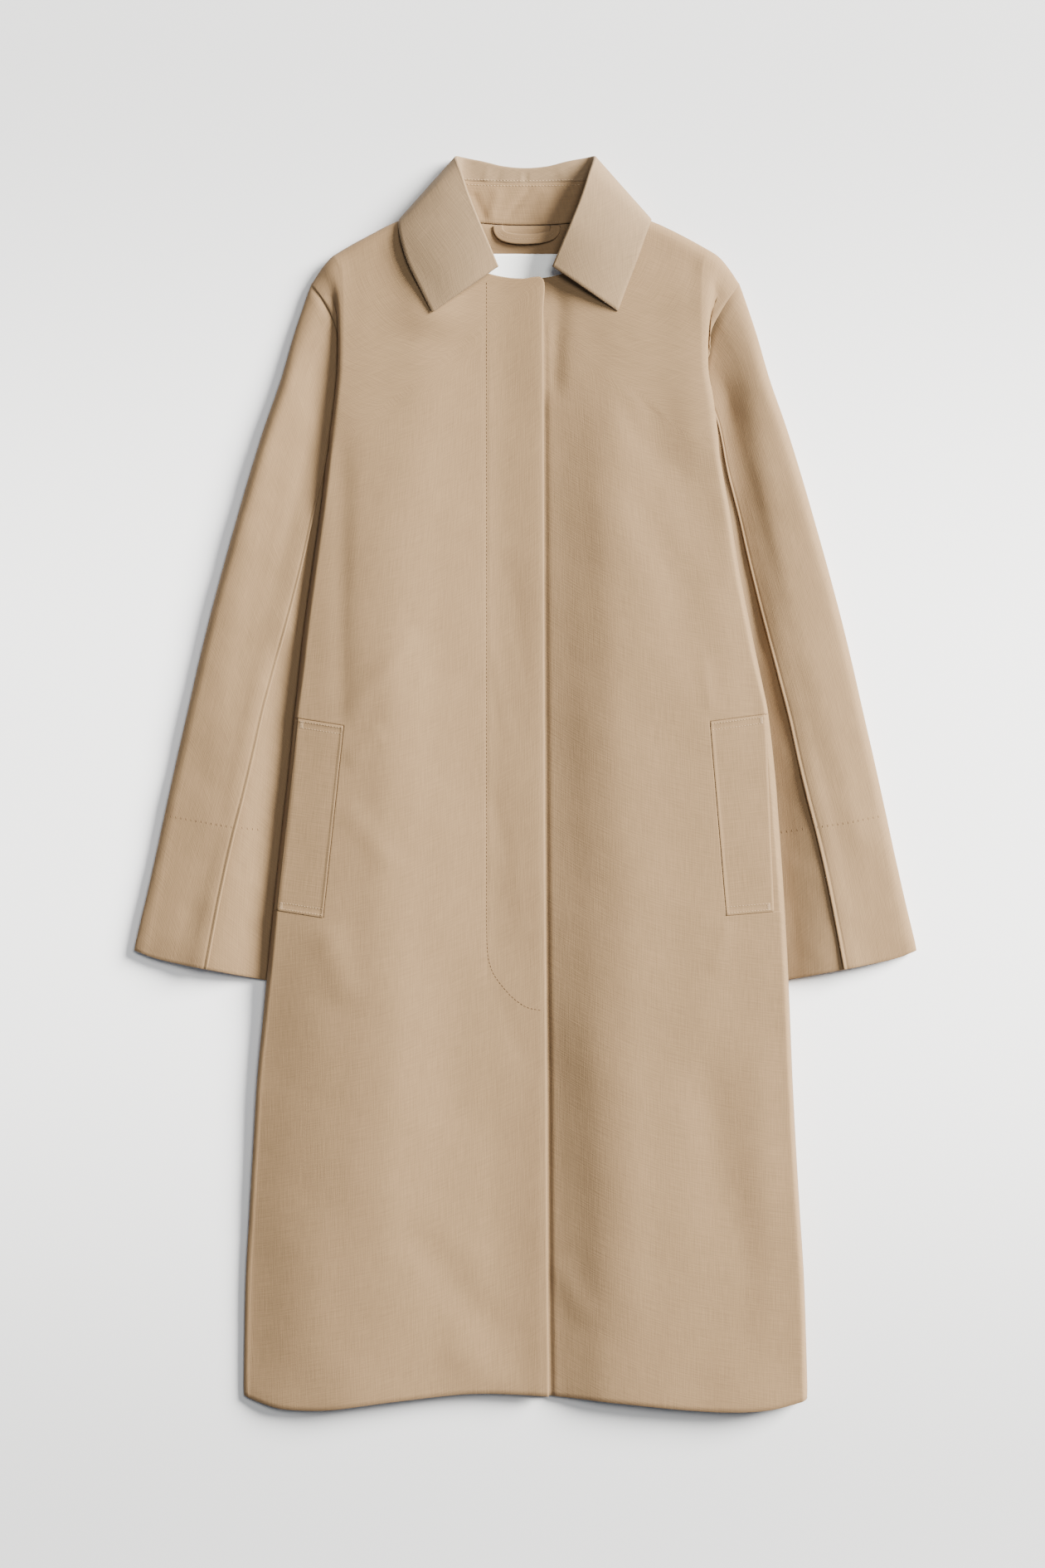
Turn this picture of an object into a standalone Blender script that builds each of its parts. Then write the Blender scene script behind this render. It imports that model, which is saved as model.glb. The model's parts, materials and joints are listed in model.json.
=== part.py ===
"""A light cotton car coat laid flat on its back, buttoned under a fly front.

Each sewn piece is a wall of cloth of its own. The coat lies in the XY plane, its hem at -Y and its
collar at +Y, and rests on the plane z = 0. Its sides are folded under, so the side seams lie below.
Lengths are in millimetres until a mesh is made. "Out" is the distance from the centre line towards
either side, and the sides are the wearer's: the right side lies at -X.
"""

from collections import namedtuple

import bpy
import numpy as np

MM = 0.001

# Cloth and seams
CLOTH = 1.5  # a coat panel with its facing
COLLAR_CLOTH = 1.8  # two plies and the interlining between them
WELT_CLOTH = 1.8
WELT_GAP = 0.6
LABEL_CLOTH = 1.0
SEAM_GAP = 0.3  # left between two pieces that are sewn together
ARMHOLE_GAP = 0.6
SEAM_TUCK = 1.8  # the sleeve lies this much lower where the front hangs over the armhole
REST = CLOTH / 2  # middle height of a panel that lies on the ground

# The body as it lies
FRONT_EDGE = -19.0  # the right front laps past the centre line by this much
UNDERLAP_EDGE = -30.0  # the left front runs on below it
LAP_DROP = 3.2  # the left front lies this much lower under the lap
LAP_RISE = 62.0  # and comes back up over this width
FOLD_RADIUS = 9.0  # width of the soft fold along each side
SHOULDER_FOLD = 9.0
UNDERARM_Y = 314.0
NECK_ROW_Y = 344.0  # the lowest row that still ends on the neckline
BODY_ROWS = (292, 268, 240, 190, 130, 70, 15, -40, -95, -150, -205, -260, -320, -380, -440, -500, -548)
SIDE_TUCK = 48.0  # width of front folded under, from the fold to the side seam
HEM_TUCK_RISE = 0.3  # the folded hem climbs this much for each millimetre under
BACK_HEM_SHORT = 5.0
HEM_FROM_Y = -300.0  # below this the rows bend towards the hem's own line
NECK_TO_Y = -60.0  # above this the rows bend towards the neckline
BACK_BOW = 0.86
SHOULDER_BOW = 0.5  # share of the armhole over which the rows lose the shoulder's bow
SHOULDER_EASE = ((120, 160), (0, 0.8))  # out, and how much farther the back keeps from the fold

# The sleeve as it lies
SHOULDER_POINT = (190.5, 446.0)
ARMHOLE_SHARES = (0.1, 0.2, 0.3, 0.4, 0.5, 0.6, 0.71, 0.86, 1.0)  # rows of the body along the armhole
LAPPED_SEAM_SHARE = 0.71  # where the lapped seam meets the armhole
SLEEVE_FOLD = 0.1  # share of the sleeve's width that its outer fold takes up
SLEEVE_TUCK = 17.0  # how far the sleeve's inner fold lies under the body's edge
SLEEVE_LAP = 6.0  # the under sleeve runs on below the lapped seam
SLEEVE_LAP_LIFT = 2.6
SLEEVE_LAP_RUN = 26.0  # the lift dies out over this width
SLEEVE_WIDEST_Z = 7.4  # height of the outer fold's widest line
UNDER_SLEEVE_TOP = 3.9  # height of the under sleeve at its inner fold
UNDER_SLEEVE_SLOPE = 0.6
UNDER_DROP_RUN = 20.0
UNDER_SLEEVE_FOLD = ((0, 0.3), (5.6, 2.0))  # along the sleeve, and the half width of its inner fold
# Shares of the sleeve's length over which it changes from the armhole's shape to its own
ARMHOLE_BOW = 0.22
ARMHOLE_HEIGHT_RUN = 0.16
LAP_STARTS = 0.1
CUFF_HANG = 0.3
BACK_SEAM = 0.5  # the sleeve's back seam, as a share of its width

# The collar and what is inside the neck
NECK_POINT = (66.0, 512.0)
SEAM_RUN = 3.0  # the cloth runs straight for this far on both sides of the seam
COLLAR_GAP = 0.5  # between the stand and the collar, whose edges tilt a little
COLLAR_FOLD = 1.3  # radius of the collar's fold line
STAND_START = 1.5  # the stand begins this far above a panel it stands up from
COLLAR_BULGE = 8.8  # four times the rise of the wings between fold and edge
LABEL_SIZE = (80.0, 38.0)
LABEL_TOP_Y = 473.6
LOOP_WIDTH = 8.0
LOOP_CLOTH = 1.8

# How finely the surfaces are laid out
FRONT_COLUMNS = 12  # from the front edge to the side fold
BACK_COLUMNS = 17
SECTION_POINTS = 11  # round the side fold
WIDEST_COLUMN = FRONT_COLUMNS + 3
ROLLED_ROWS = 6  # round the shoulder's fold
SLEEVE_ROWS = 15
WELT_COLUMNS = 15
UNDER_SLEEVE_COLUMNS = 7  # from its inner fold to below the lapped seam
STATIONS_ON_FRONT = 4  # collar stations whose neck seam lies on a front

# Outlines, each a short table of places along y
Outline = namedtuple("Outline", "y out")
BODY_EDGE = {
    "right": Outline(
        (470, 446, 424, 405, 381, 337, 300, 255, 181, 107, 55, -41, -115, -189, -263, -352, -440, -552),
        (173, 171, 168.5, 167.6, 167.6, 171, 175.8, 181, 191.3, 201, 206, 216.5, 224.6, 232, 239.4, 244.6,
         249.8, 252),
    ),
    "left": Outline(
        (470, 444, 418, 403, 376, 341, 285, 255, 181, 107, 55, -41, -115, -189, -263, -352, -440, -552),
        (170, 165, 162.5, 162, 161.8, 167, 174.3, 180, 192, 207, 217, 226, 231, 235, 238.3, 243, 248.6, 252),
    ),
}
FRONT_ARMHOLE = {
    "right": Outline(
        (446, 436, 424, 409, 398, 380, 350, 314),
        (190.5, 183, 175.8, 169.8, 166.5, 161.5, 156.5, 146),
    ),
    "left": Outline(
        (446, 436, 424, 403, 388, 376, 350, 314),
        (190.5, 183, 175.8, 165.4, 162.6, 161, 157, 146.5),
    ),
}
BACK_ARMHOLE = Outline((446, 415, 385, 350, 314), (190.5, 174, 163, 155.5, 145))
SHOULDER = Outline((512, 508.5, 501.5, 491.5, 478, 469.5, 459, 446), (66, 90, 113, 135, 160, 173, 182, 190.5))
NECK_CENTRE_Y = 449.5
FRONT_NECK = (
    (68.3, 503), (67, 492.5), (63, 481.5), (55.5, 470), (45, 460.5), (30.5, 454), (14, 451), (0, 450),
)
BACK_NECKLINE = Outline((498.5, 498.9, 500.5, 502, 502.7), (0, 20, 42, 56, 66))
SLEEVE_EDGE = Outline(
    (446, 403, 359, 314.5, 226, 137, 48, -41, -148),
    (190.5, 205.7, 219, 234.6, 261, 285, 305.6, 326, 350),
)
SLEEVE_SEAM = Outline(
    (352, 337, 300, 255, 181, 122, 63, 4, -41, -92, -164),
    (160, 168, 175, 186, 203, 218.5, 234, 247, 258.5, 270, 284),
)

# The hem and the cuff, across the coat: x or out, then y
HEM = (
    (-252, -235, -190, -131, -72, -42, 17, 91, 150, 179, 209, 239, 252),
    (-546, -554, -558.6, -552, -545.5, -543.5, -546, -552.5, -558, -559.4, -558.5, -553, -548),
)
CUFF = ((214, 243.5, 279.5, 315, 332.6, 350), (-178, -173, -166, -159, -154.7, -148))

# How high the middle of the cloth lies: at the centre line and at the crest beside it
Loft = namedtuple("Loft", "y centre crest")
LOFT = Loft(
    (512, 450, 380, 250, 0, -300, -560),
    (14, 15, 14.5, 14, 14, 13, 11),
    (14, 16, 18.5, 22, 24, 23, 19),
)
CREST_SHAPE = ((-0.3, 0, 0.3, 0.6, 0.85, 1.0), (0, 0, 0.45, 1, 0.9, 0.72))  # by share of the half width
# The sleeve's height by its distance outside the body's edge
SLEEVE_SHAPE = ((-17, -8, 0, 8, 20, 40, 60, 85, 115), (3.6, 4.7, 5.8, 7.0, 9.0, 12.8, 13.2, 11.6, 9.4))

# The largest folds of the fronts: where each runs from and to, its half width and its height
Fold = namedtuple("Fold", "x0 y0 x1 y1 half_width height")
FOLDS = (
    Fold(-128, 300, -118, -420, 34, 2.4),
    Fold(-272, -100, -276, -640, 78, -9.0),
    Fold(-100, -440, -20, -500, 26, 1.4),
    Fold(150, 240, 104, 330, 24, -1.8),
    Fold(84, 330, 88, -520, 36, 2.6),
    Fold(160, -240, 196, -520, 24, -1.4),
    Fold(150, 60, 100, 150, 22, 1.2),
    Fold(-150, 40, -96, 120, 22, 1.4),
)

# How the front goes round its side fold, by the height along the body: width in from the edge, and z
Under = namedtuple("Under", "y edge_z first_in first_z second_in second_z")
UNDERSIDE = Under(
    (314, 285, 255, -165, -250, -560),
    (10.8, 10.6, 10.5, 10.5, 8.5, 8.0),
    (6, 13, 20, 20, 11, 10),
    (7.8, 7.0, 6.4, 6.4, 2.2, 2.0),
    (11, 23, 34, 34, 24, 22),
    (6.9, 5.2, 1.3, 1.3, REST, REST),
)
ARMHOLE_HEIGHT = ((446, 424, 405, 385, 350, 314), (11.4, 10.8, 8.8, 7.6, 6.8, 6.5))
ARMHOLE_FOLD_HEIGHT = ((446, 424, 405, 385, 350, 314), (13.4, 12.8, 12.2, 11.6, 11.0, 10.8))
HANGS_OVER = ((420, 390), (0, 1))
SIDE_SEAM_IN = ((314, 285, 255, -560), (16, 34, SIDE_TUCK, SIDE_TUCK))
SIDE_SEAM_HEIGHT = ((314, 285, 255, -560), (6.5, 2.5, REST, REST))

# The collar, station by station from its front end round to the centre back, each point out, y, z:
# the neck seam, the stand's seam, the fold line and the outer edge
Station = namedtuple("Station", "neck stand fold edge")
COLLAR = (
    Station((20, 451, 15.6), (21.5, 454, 21.5), (24.5, 460, 27), (82, 421.5, 21.5)),
    Station((40, 459, 15.4), (38, 465, 22.5), (33, 480, 31), (90, 443, 21.5)),
    Station((55, 472, 14.8), (49, 483, 23.5), (42, 501, 32), (98, 464, 21)),
    Station((64, 490, 13.8), (56, 505, 22.5), (51, 524, 30), (105, 484, 20)),
    Station((66, 503, 12.5), (60, 524, 18.5), (57, 543, 25), (109.5, 496, 18)),
    Station((66, 509, 10.5), (61, 532, 14), (60.5, 552, 19), (111.5, 501, 15.5)),
    Station((65.5, 512, 8), (61, 537, 9), (61.7, 557.6, 11), (112, 504.2, 8.5)),
    Station((65, 509, 5.8), (58, 539.2, 5.6), (57, 557.9, 4.2), (110.5, 503.2, 2.4)),
    Station((60, 503.6, 4.0), (51, 538.8, 3.9), (50, 556.4, 2.3), (107, 499.6, 0.95)),
    Station((42, 501.6, 3.6), (40, 538.3, 3.6), (38, 553.9, 2.3), (80, 491, 0.95)),
    Station((20, 500, 3.6), (20, 537.3, 3.6), (20, 549.6, 2.3), (44, 486, 0.95)),
    Station((0, 499.6, 3.6), (0, 536.8, 3.6), (0, 547.8, 2.3), (0, 484, 0.95)),
)
# The body's under layers are held up by the collar beyond this line: out, then y
LIFT_LINE = ((0, 44, 80, 103, 116, 140), (484, 486, 490, 490, 484, 460))
LIFT_RUN = 10.0
LIFT_HALF_WIDTH = (118.0, 142.0)

# The welts' corners: out and y of the top inner, top outer, bottom inner and bottom outer corner
WELT = {
    "right": ((161.7, 51.8), (203.2, 58.4), (180.2, -119), (222.6, -112.5)),
    "left": ((164, 55.5), (213.6, 62), (178.8, -117), (221, -113.5)),
}
# The hanger loop's middle line: x, y, z
LOOP_PATH = (
    (-24.6, 497.2, 5.5), (-24.2, 493.2, 6.1), (-20.5, 489.2, 7.0), (-12, 487.0, 7.8), (0, 486.4, 8.1),
    (13, 487.2, 7.8), (22.5, 489.6, 7.0), (26.4, 493.4, 6.1), (27, 497.2, 5.5),
)

CLOTH_COLOUR = (0.51, 0.40, 0.29, 1)
LABEL_COLOUR = (0.80, 0.81, 0.80, 1)


def steady(x, table):
    """Reads a table at x with a curve that never swings past its values."""
    xs, ys = (np.asarray(column, float) for column in table[:2])
    if xs[0] > xs[-1]:
        xs, ys = xs[::-1], ys[::-1]
    step = np.diff(xs)
    slope = np.diff(ys) / step
    tangent = np.concatenate([slope[:1], (slope[1:] + slope[:-1]) / 2, slope[-1:]])
    tangent[1:-1][slope[1:] * slope[:-1] <= 0] = 0
    for i, s in enumerate(slope):
        limit = 3 * abs(s)
        tangent[i] = np.clip(tangent[i], -limit, limit)
        tangent[i + 1] = np.clip(tangent[i + 1], -limit, limit)
    x = np.clip(np.asarray(x, float), xs[0], xs[-1])
    i = np.clip(np.searchsorted(xs, x) - 1, 0, len(step) - 1)
    t = (x - xs[i]) / step[i]
    return (
        ys[i] * (1 + 2 * t) * (1 - t) ** 2
        + tangent[i] * step[i] * t * (1 - t) ** 2
        + ys[i + 1] * t * t * (3 - 2 * t)
        - tangent[i + 1] * step[i] * t * t * (1 - t)
    )


def through(points, count):
    """A smooth line through the points, with count steps between each two."""
    p = np.asarray(points, float)
    p = np.concatenate([[2 * p[0] - p[1]], p, [2 * p[-1] - p[-2]]])
    line = []
    for a, b, c, d in zip(p, p[1:], p[2:], p[3:]):
        for t in np.arange(count) / count:
            second, third = 2 * a - 5 * b + 4 * c - d, 3 * b - a - 3 * c + d
            line.append((2 * b + (c - a) * t + second * t**2 + third * t**3) / 2)
    line.append(p[-2])
    return np.array(line)


def ease(x):
    """0 up to 0, 1 from 1 on, and smooth between."""
    x = np.clip(x, 0, 1)
    return x * x * (3 - 2 * x)


def body_edge(side, y):
    return steady(y, BODY_EDGE[side]) - REST


def armhole_y(share):
    return SHOULDER_POINT[1] + (UNDERARM_Y - SHOULDER_POINT[1]) * share


def armhole_out(table, share):
    """The armhole as the pieces share it: straight between the rows of the body."""
    shares = (0, *ARMHOLE_SHARES)
    return np.interp(share, shares, [steady(armhole_y(s), table) for s in shares])


def ground(out, y):
    """How high the body's under layers are held by the collar, which is folded below them."""
    out = np.abs(out)
    fade = ease((LIFT_HALF_WIDTH[1] - out) / (LIFT_HALF_WIDTH[1] - LIFT_HALF_WIDTH[0]))
    return (COLLAR_CLOTH + 2 * SEAM_GAP) * fade * ease((y - steady(out, LIFT_LINE)) / LIFT_RUN + 1)


def fold_height(x, y):
    """The rise or fall that the large folds add at a place on the fronts."""
    total = 0.0
    for f in FOLDS:
        along = np.array([f.x1 - f.x0, f.y1 - f.y0], float)
        length = np.hypot(*along)
        share = ((x - f.x0) * along[0] + (y - f.y0) * along[1]) / length**2
        off = ((x - f.x0) * along[1] - (y - f.y0) * along[0]) / length
        fade = ease((share + 0.15) / 0.3) * ease((1.15 - share) / 0.3)
        total = total + f.height * fade * np.exp(-((off / f.half_width) ** 2))
    return total


def front_height(side, out, y):
    """The middle height of a front's upper layer, down to the widest line of its side fold."""
    sign = -1 if side == "right" else 1
    edge = body_edge(side, y)
    centre, crest = steady(y, (LOFT.y, LOFT.centre)), steady(y, (LOFT.y, LOFT.crest))
    top = centre + (crest - centre) * steady(out / edge, CREST_SHAPE) + fold_height(sign * out, y)
    if side == "left":
        top = top - LAP_DROP * (1 - ease((out + FRONT_EDGE) / LAP_RISE))
    inside = np.clip((edge - out) / FOLD_RADIUS, 0, 1)
    low = steady(y, (UNDERSIDE.y, UNDERSIDE.edge_z))
    rounded = low + (top - low) * np.sqrt(1 - (1 - inside) ** 2)
    return np.where(y > UNDERARM_Y, top, rounded)


def side_section(side, y):
    """A front's section round its side fold: points out and z, from the top to the side seam."""
    edge = body_edge(side, y)
    start = edge - FOLD_RADIUS
    top = float(front_height(side, start, y))
    low, *under = (float(steady(y, (UNDERSIDE.y, column))) for column in UNDERSIDE[1:])
    turn = np.radians([22.5, 45, 67.5, 90])
    upper = [(start + FOLD_RADIUS * np.sin(a), low + (top - low) * np.cos(a)) for a in turn]
    seam = (edge - steady(y, SIDE_SEAM_IN), steady(y, SIDE_SEAM_HEIGHT))
    knots = [upper[-2], upper[-1], (edge - under[0], under[1]), (edge - under[2], under[3]), seam]
    lower = through(knots, 2)[3:]
    lower[:, 1] = np.maximum(lower[:, 1], REST)
    return np.array([(start, top), *upper, *lower])


def armhole_section(side, share):
    """A front's section from its top to the armhole, with as many points as the section below it."""
    y = armhole_y(share)
    edge = body_edge(side, y)
    start = edge - FOLD_RADIUS
    top = float(front_height(side, start, y))
    low, seam_z = (float(steady(y, table)) for table in (ARMHOLE_FOLD_HEIGHT, ARMHOLE_HEIGHT))
    seam_out = armhole_out(FRONT_ARMHOLE[side], share)
    widest = edge + max(seam_out - edge, 0) / 2
    knots = [
        (start - 6, float(front_height(side, start - 6, y))), (start, top),
        (edge - 0.3 * FOLD_RADIUS + (widest - edge) / 2, top + 0.25 * (low - top)), (widest, low),
        (widest + 0.35 * (seam_out - widest), low + 0.45 * (seam_z - low)), (seam_out, seam_z),
    ]
    line = through(knots, 8)[8:]
    run = np.concatenate([[0], np.cumsum(np.hypot(*np.diff(line, axis=0).T))])
    even = np.linspace(0, run[-1], SECTION_POINTS)
    return np.stack([np.interp(even, run, line[:, 0]), np.interp(even, run, line[:, 1])], axis=1)


def shoulder_turn(share):
    """From the shoulder's fold line to where its cloth lies flat, at a share of the way to the sleeve."""
    first = ARMHOLE_SHARES[0]
    end = np.array([armhole_out(FRONT_ARMHOLE["right"], first), armhole_y(first)]) - SHOULDER_POINT
    return np.array([0, -SHOULDER_FOLD]) * (1 - share**2) + end * share**2


def shoulder_line(out):
    """The y at which the cloth lies flat again beside the shoulder's fold."""
    end_out, end_y = armhole_out(FRONT_ARMHOLE["right"], ARMHOLE_SHARES[0]), armhole_y(ARMHOLE_SHARES[0])
    share = np.clip((out - NECK_POINT[0]) / (end_out - NECK_POINT[0]), 0, 1)
    turn = np.array([shoulder_turn(s) for s in np.atleast_1d(share)])
    line = steady(out - turn[:, 0], (SHOULDER.out, SHOULDER.y)) + turn[:, 1]
    return np.where(out < end_out - 0.1, line, end_y)


def front_grid(side):
    """A front's middle surface: rows from the shoulder seam to the hem, columns from its edge outwards."""
    sign = -1 if side == "right" else 1
    front_edge = FRONT_EDGE if side == "right" else UNDERLAP_EDGE
    grid = []
    for share, (neck_out, neck_y) in zip(ARMHOLE_SHARES, (*FRONT_NECK, (front_edge, NECK_CENTRE_Y))):
        section = armhole_section(side, share)
        seam_y = armhole_y(share)
        outs = np.concatenate([np.linspace(neck_out, section[0, 0], FRONT_COLUMNS)[:-1], section[:, 0]])
        across = np.clip((outs - neck_out) / (section[-1, 0] - neck_out), 0, 1)
        bow = float(ease(1 - (share - ARMHOLE_SHARES[0]) / SHOULDER_BOW))
        straight = neck_y + (seam_y - neck_y) * across
        first = FRONT_NECK[0][1] + (armhole_y(ARMHOLE_SHARES[0]) - FRONT_NECK[0][1]) * across
        ys = straight + bow * (shoulder_line(np.clip(outs, NECK_POINT[0], section[-1, 0])) - first)
        ys[0], ys[-1] = neck_y, seam_y
        zs = [*front_height(side, outs[: FRONT_COLUMNS - 1], ys[: FRONT_COLUMNS - 1]), *section[:, 1]]
        grid.append(np.stack([sign * outs, ys, zs], axis=1))
    for y in BODY_ROWS:
        section = side_section(side, y)
        outs = np.concatenate([np.linspace(front_edge, section[0, 0], FRONT_COLUMNS)[:-1], section[:, 0]])
        edge = max(section[:, 0])
        inner_y = y + (NECK_CENTRE_Y - UNDERARM_Y) * float(ease((y - NECK_TO_Y) / (NECK_ROW_Y - NECK_TO_Y)))
        ys = inner_y + (y - inner_y) * np.clip((outs - front_edge) / (edge - front_edge), 0, 1)
        ys[WIDEST_COLUMN:] = y
        under = np.zeros(len(outs))
        under[-5:] = edge - outs[-5:]
        near_hem = float(ease((HEM_FROM_Y - y) / (HEM_FROM_Y - BODY_ROWS[-1])))
        ys = ys + near_hem * (steady(sign * outs, HEM) + under * HEM_TUCK_RISE - BODY_ROWS[-1])
        zs = [*front_height(side, outs[: FRONT_COLUMNS - 1], ys[: FRONT_COLUMNS - 1]), *section[:, 1]]
        grid.append(np.stack([sign * outs, ys, zs], axis=1))
    grid = np.array(grid)
    top = grid[0]
    outs = np.abs(top[:, 0])
    share = (outs - outs.min()) / (outs.max() - outs.min())
    turn = np.array([shoulder_turn(s) for s in share])
    low = REST + ground(outs, top[:, 1])
    first = ARMHOLE_SHARES[0]
    shift = armhole_out(BACK_ARMHOLE, first) - armhole_out(FRONT_ARMHOLE[side], first)
    rolled = []
    for angle in np.radians([180, 150, 120, 90, 60, 30]):
        back = 1 - np.sin(angle)
        fallen = (1 - np.cos(angle)) / 2
        below = shift * back if angle > np.pi / 2 else 0
        x = sign * (outs + turn[:, 0] * (back - 1) + below * share**2)
        y = top[:, 1] + turn[:, 1] * (back - 1)
        rolled.append(np.stack([x, y, top[:, 2] + (low - top[:, 2]) * fallen], axis=1))
    return np.concatenate([rolled, grid])


def back_grid():
    """The back's middle surface, from the neckline and shoulder seams down to the hem."""
    shares = np.linspace(-1, 1, BACK_COLUMNS)
    widest = armhole_out(BACK_ARMHOLE, ARMHOLE_SHARES[0])
    outs = np.abs(shares) * widest
    shoulder = shoulder_line(np.clip(outs, NECK_POINT[0], None)) - SEAM_GAP - steady(outs, SHOULDER_EASE)
    top = np.where(outs < NECK_POINT[0], steady(outs, (BACK_NECKLINE.out, BACK_NECKLINE.y)), shoulder)
    lift_start = np.maximum(top - steady(outs, LIFT_LINE), LIFT_RUN / 2)
    run = np.where(outs < LIFT_HALF_WIDTH[0], LIFT_RUN, LIFT_RUN / 2)
    first, second = ARMHOLE_SHARES[:2]
    grid = []
    for offset, armhole_share in (
        (0, first),
        (lift_start, first + (second - first) / 3),
        (lift_start + run, first + (second - first) * 2 / 3),
    ):
        ys = top - offset
        ys[[0, -1]] = armhole_y(armhole_share) - 2 * SEAM_GAP
        x = shares * armhole_out(BACK_ARMHOLE, armhole_share)
        grid.append(np.stack([x, ys, REST + ground(x, ys)], axis=1))
    for share in ARMHOLE_SHARES[1:]:
        x = shares * armhole_out(BACK_ARMHOLE, share)
        bow = float(ease(1 - (share - first) / SHOULDER_BOW)) * BACK_BOW
        ys = armhole_y(share) + bow * (top - armhole_y(first))
        ys[[0, -1]] = armhole_y(share)
        grid.append(np.stack([x, ys, np.full(len(x), REST)], axis=1))
    for y in BODY_ROWS:
        reach = {side: body_edge(side, y) - steady(y, SIDE_SEAM_IN) - SEAM_GAP for side in BODY_EDGE}
        x = shares * np.where(shares < 0, reach["right"], reach["left"])
        near_hem = float(ease((HEM_FROM_Y - y) / (HEM_FROM_Y - BODY_ROWS[-1])))
        ys = y + near_hem * (steady(x, HEM) + BACK_HEM_SHORT - BODY_ROWS[-1])
        grid.append(np.stack([x, ys, np.full(len(x), REST)], axis=1))
    return np.array(grid)


def sleeve_lying_height(side, out, y):
    """The middle height of the sleeve's upper layer, by its distance outside the body's edge."""
    outside = out - body_edge(side, min(y, 440))
    flatter = 1 - 0.08 * ease((-60 - y) / 110)
    return float(REST + (steady(outside, SLEEVE_SHAPE) - REST) * flatter)


def sleeve_place(side, t, share, turn):
    """Out and y on the sleeve: t along it, share across it, turn 0 on the upper layer and 1 on the lower."""
    outer_y = SHOULDER_POINT[1] + (CUFF[1][-1] - SHOULDER_POINT[1]) * t
    inner_y = UNDERARM_Y + (CUFF[1][0] - UNDERARM_Y) * t
    outer = np.array([steady(outer_y, SLEEVE_EDGE) - REST, outer_y])
    inner = np.array([body_edge(side, inner_y) - SLEEVE_TUCK, inner_y])
    p = outer + (inner - outer) * share
    bow = max(1 - t / ARMHOLE_BOW, 0) ** 2
    if bow:
        seam_outs = [armhole_out(table, share) for table in (FRONT_ARMHOLE[side], BACK_ARMHOLE)]
        gap = ARMHOLE_GAP * (1 + float(ease((share - ARMHOLE_SHARES[-2]) / (1 - ARMHOLE_SHARES[-2]))))
        seam = np.array([seam_outs[0] * (1 - turn) + seam_outs[1] * turn + gap, armhole_y(share)])
        start = np.array([steady(SHOULDER_POINT[1], SLEEVE_EDGE) - REST, SHOULDER_POINT[1]])
        end = np.array([body_edge(side, UNDERARM_Y) - SLEEVE_TUCK, UNDERARM_Y])
        p = p + bow * (seam - (start + (end - start) * share))
    hang = float(ease((t - 1) / CUFF_HANG + 1))
    p[1] += hang * (steady(p[0], CUFF) - (CUFF[1][-1] + (CUFF[1][0] - CUFF[1][-1]) * share))
    return p


def sleeve_height(side, t, share):
    """The sleeve's upper height, which meets the front at the armhole."""
    out, y = sleeve_place(side, t, share, 0)
    lying = sleeve_lying_height(side, out, y)
    y = armhole_y(share)
    at_seam = steady(y, ARMHOLE_HEIGHT) - SEAM_TUCK * steady(y, HANGS_OVER)
    return float(lying + (at_seam - lying) * ease(1 - t / ARMHOLE_HEIGHT_RUN))


def lapped_seam_share(side, t):
    """The share of the way in at which the lapped seam crosses the sleeve."""
    if t == 0:
        return LAPPED_SEAM_SHARE
    shares = np.linspace(0.3, 0.98, 60)
    points = [sleeve_place(side, t, share, 0) for share in shares]
    past = [p[0] - steady(p[1], SLEEVE_SEAM) for p in points]
    return float(np.interp(0, past[::-1], shares[::-1]))


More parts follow.
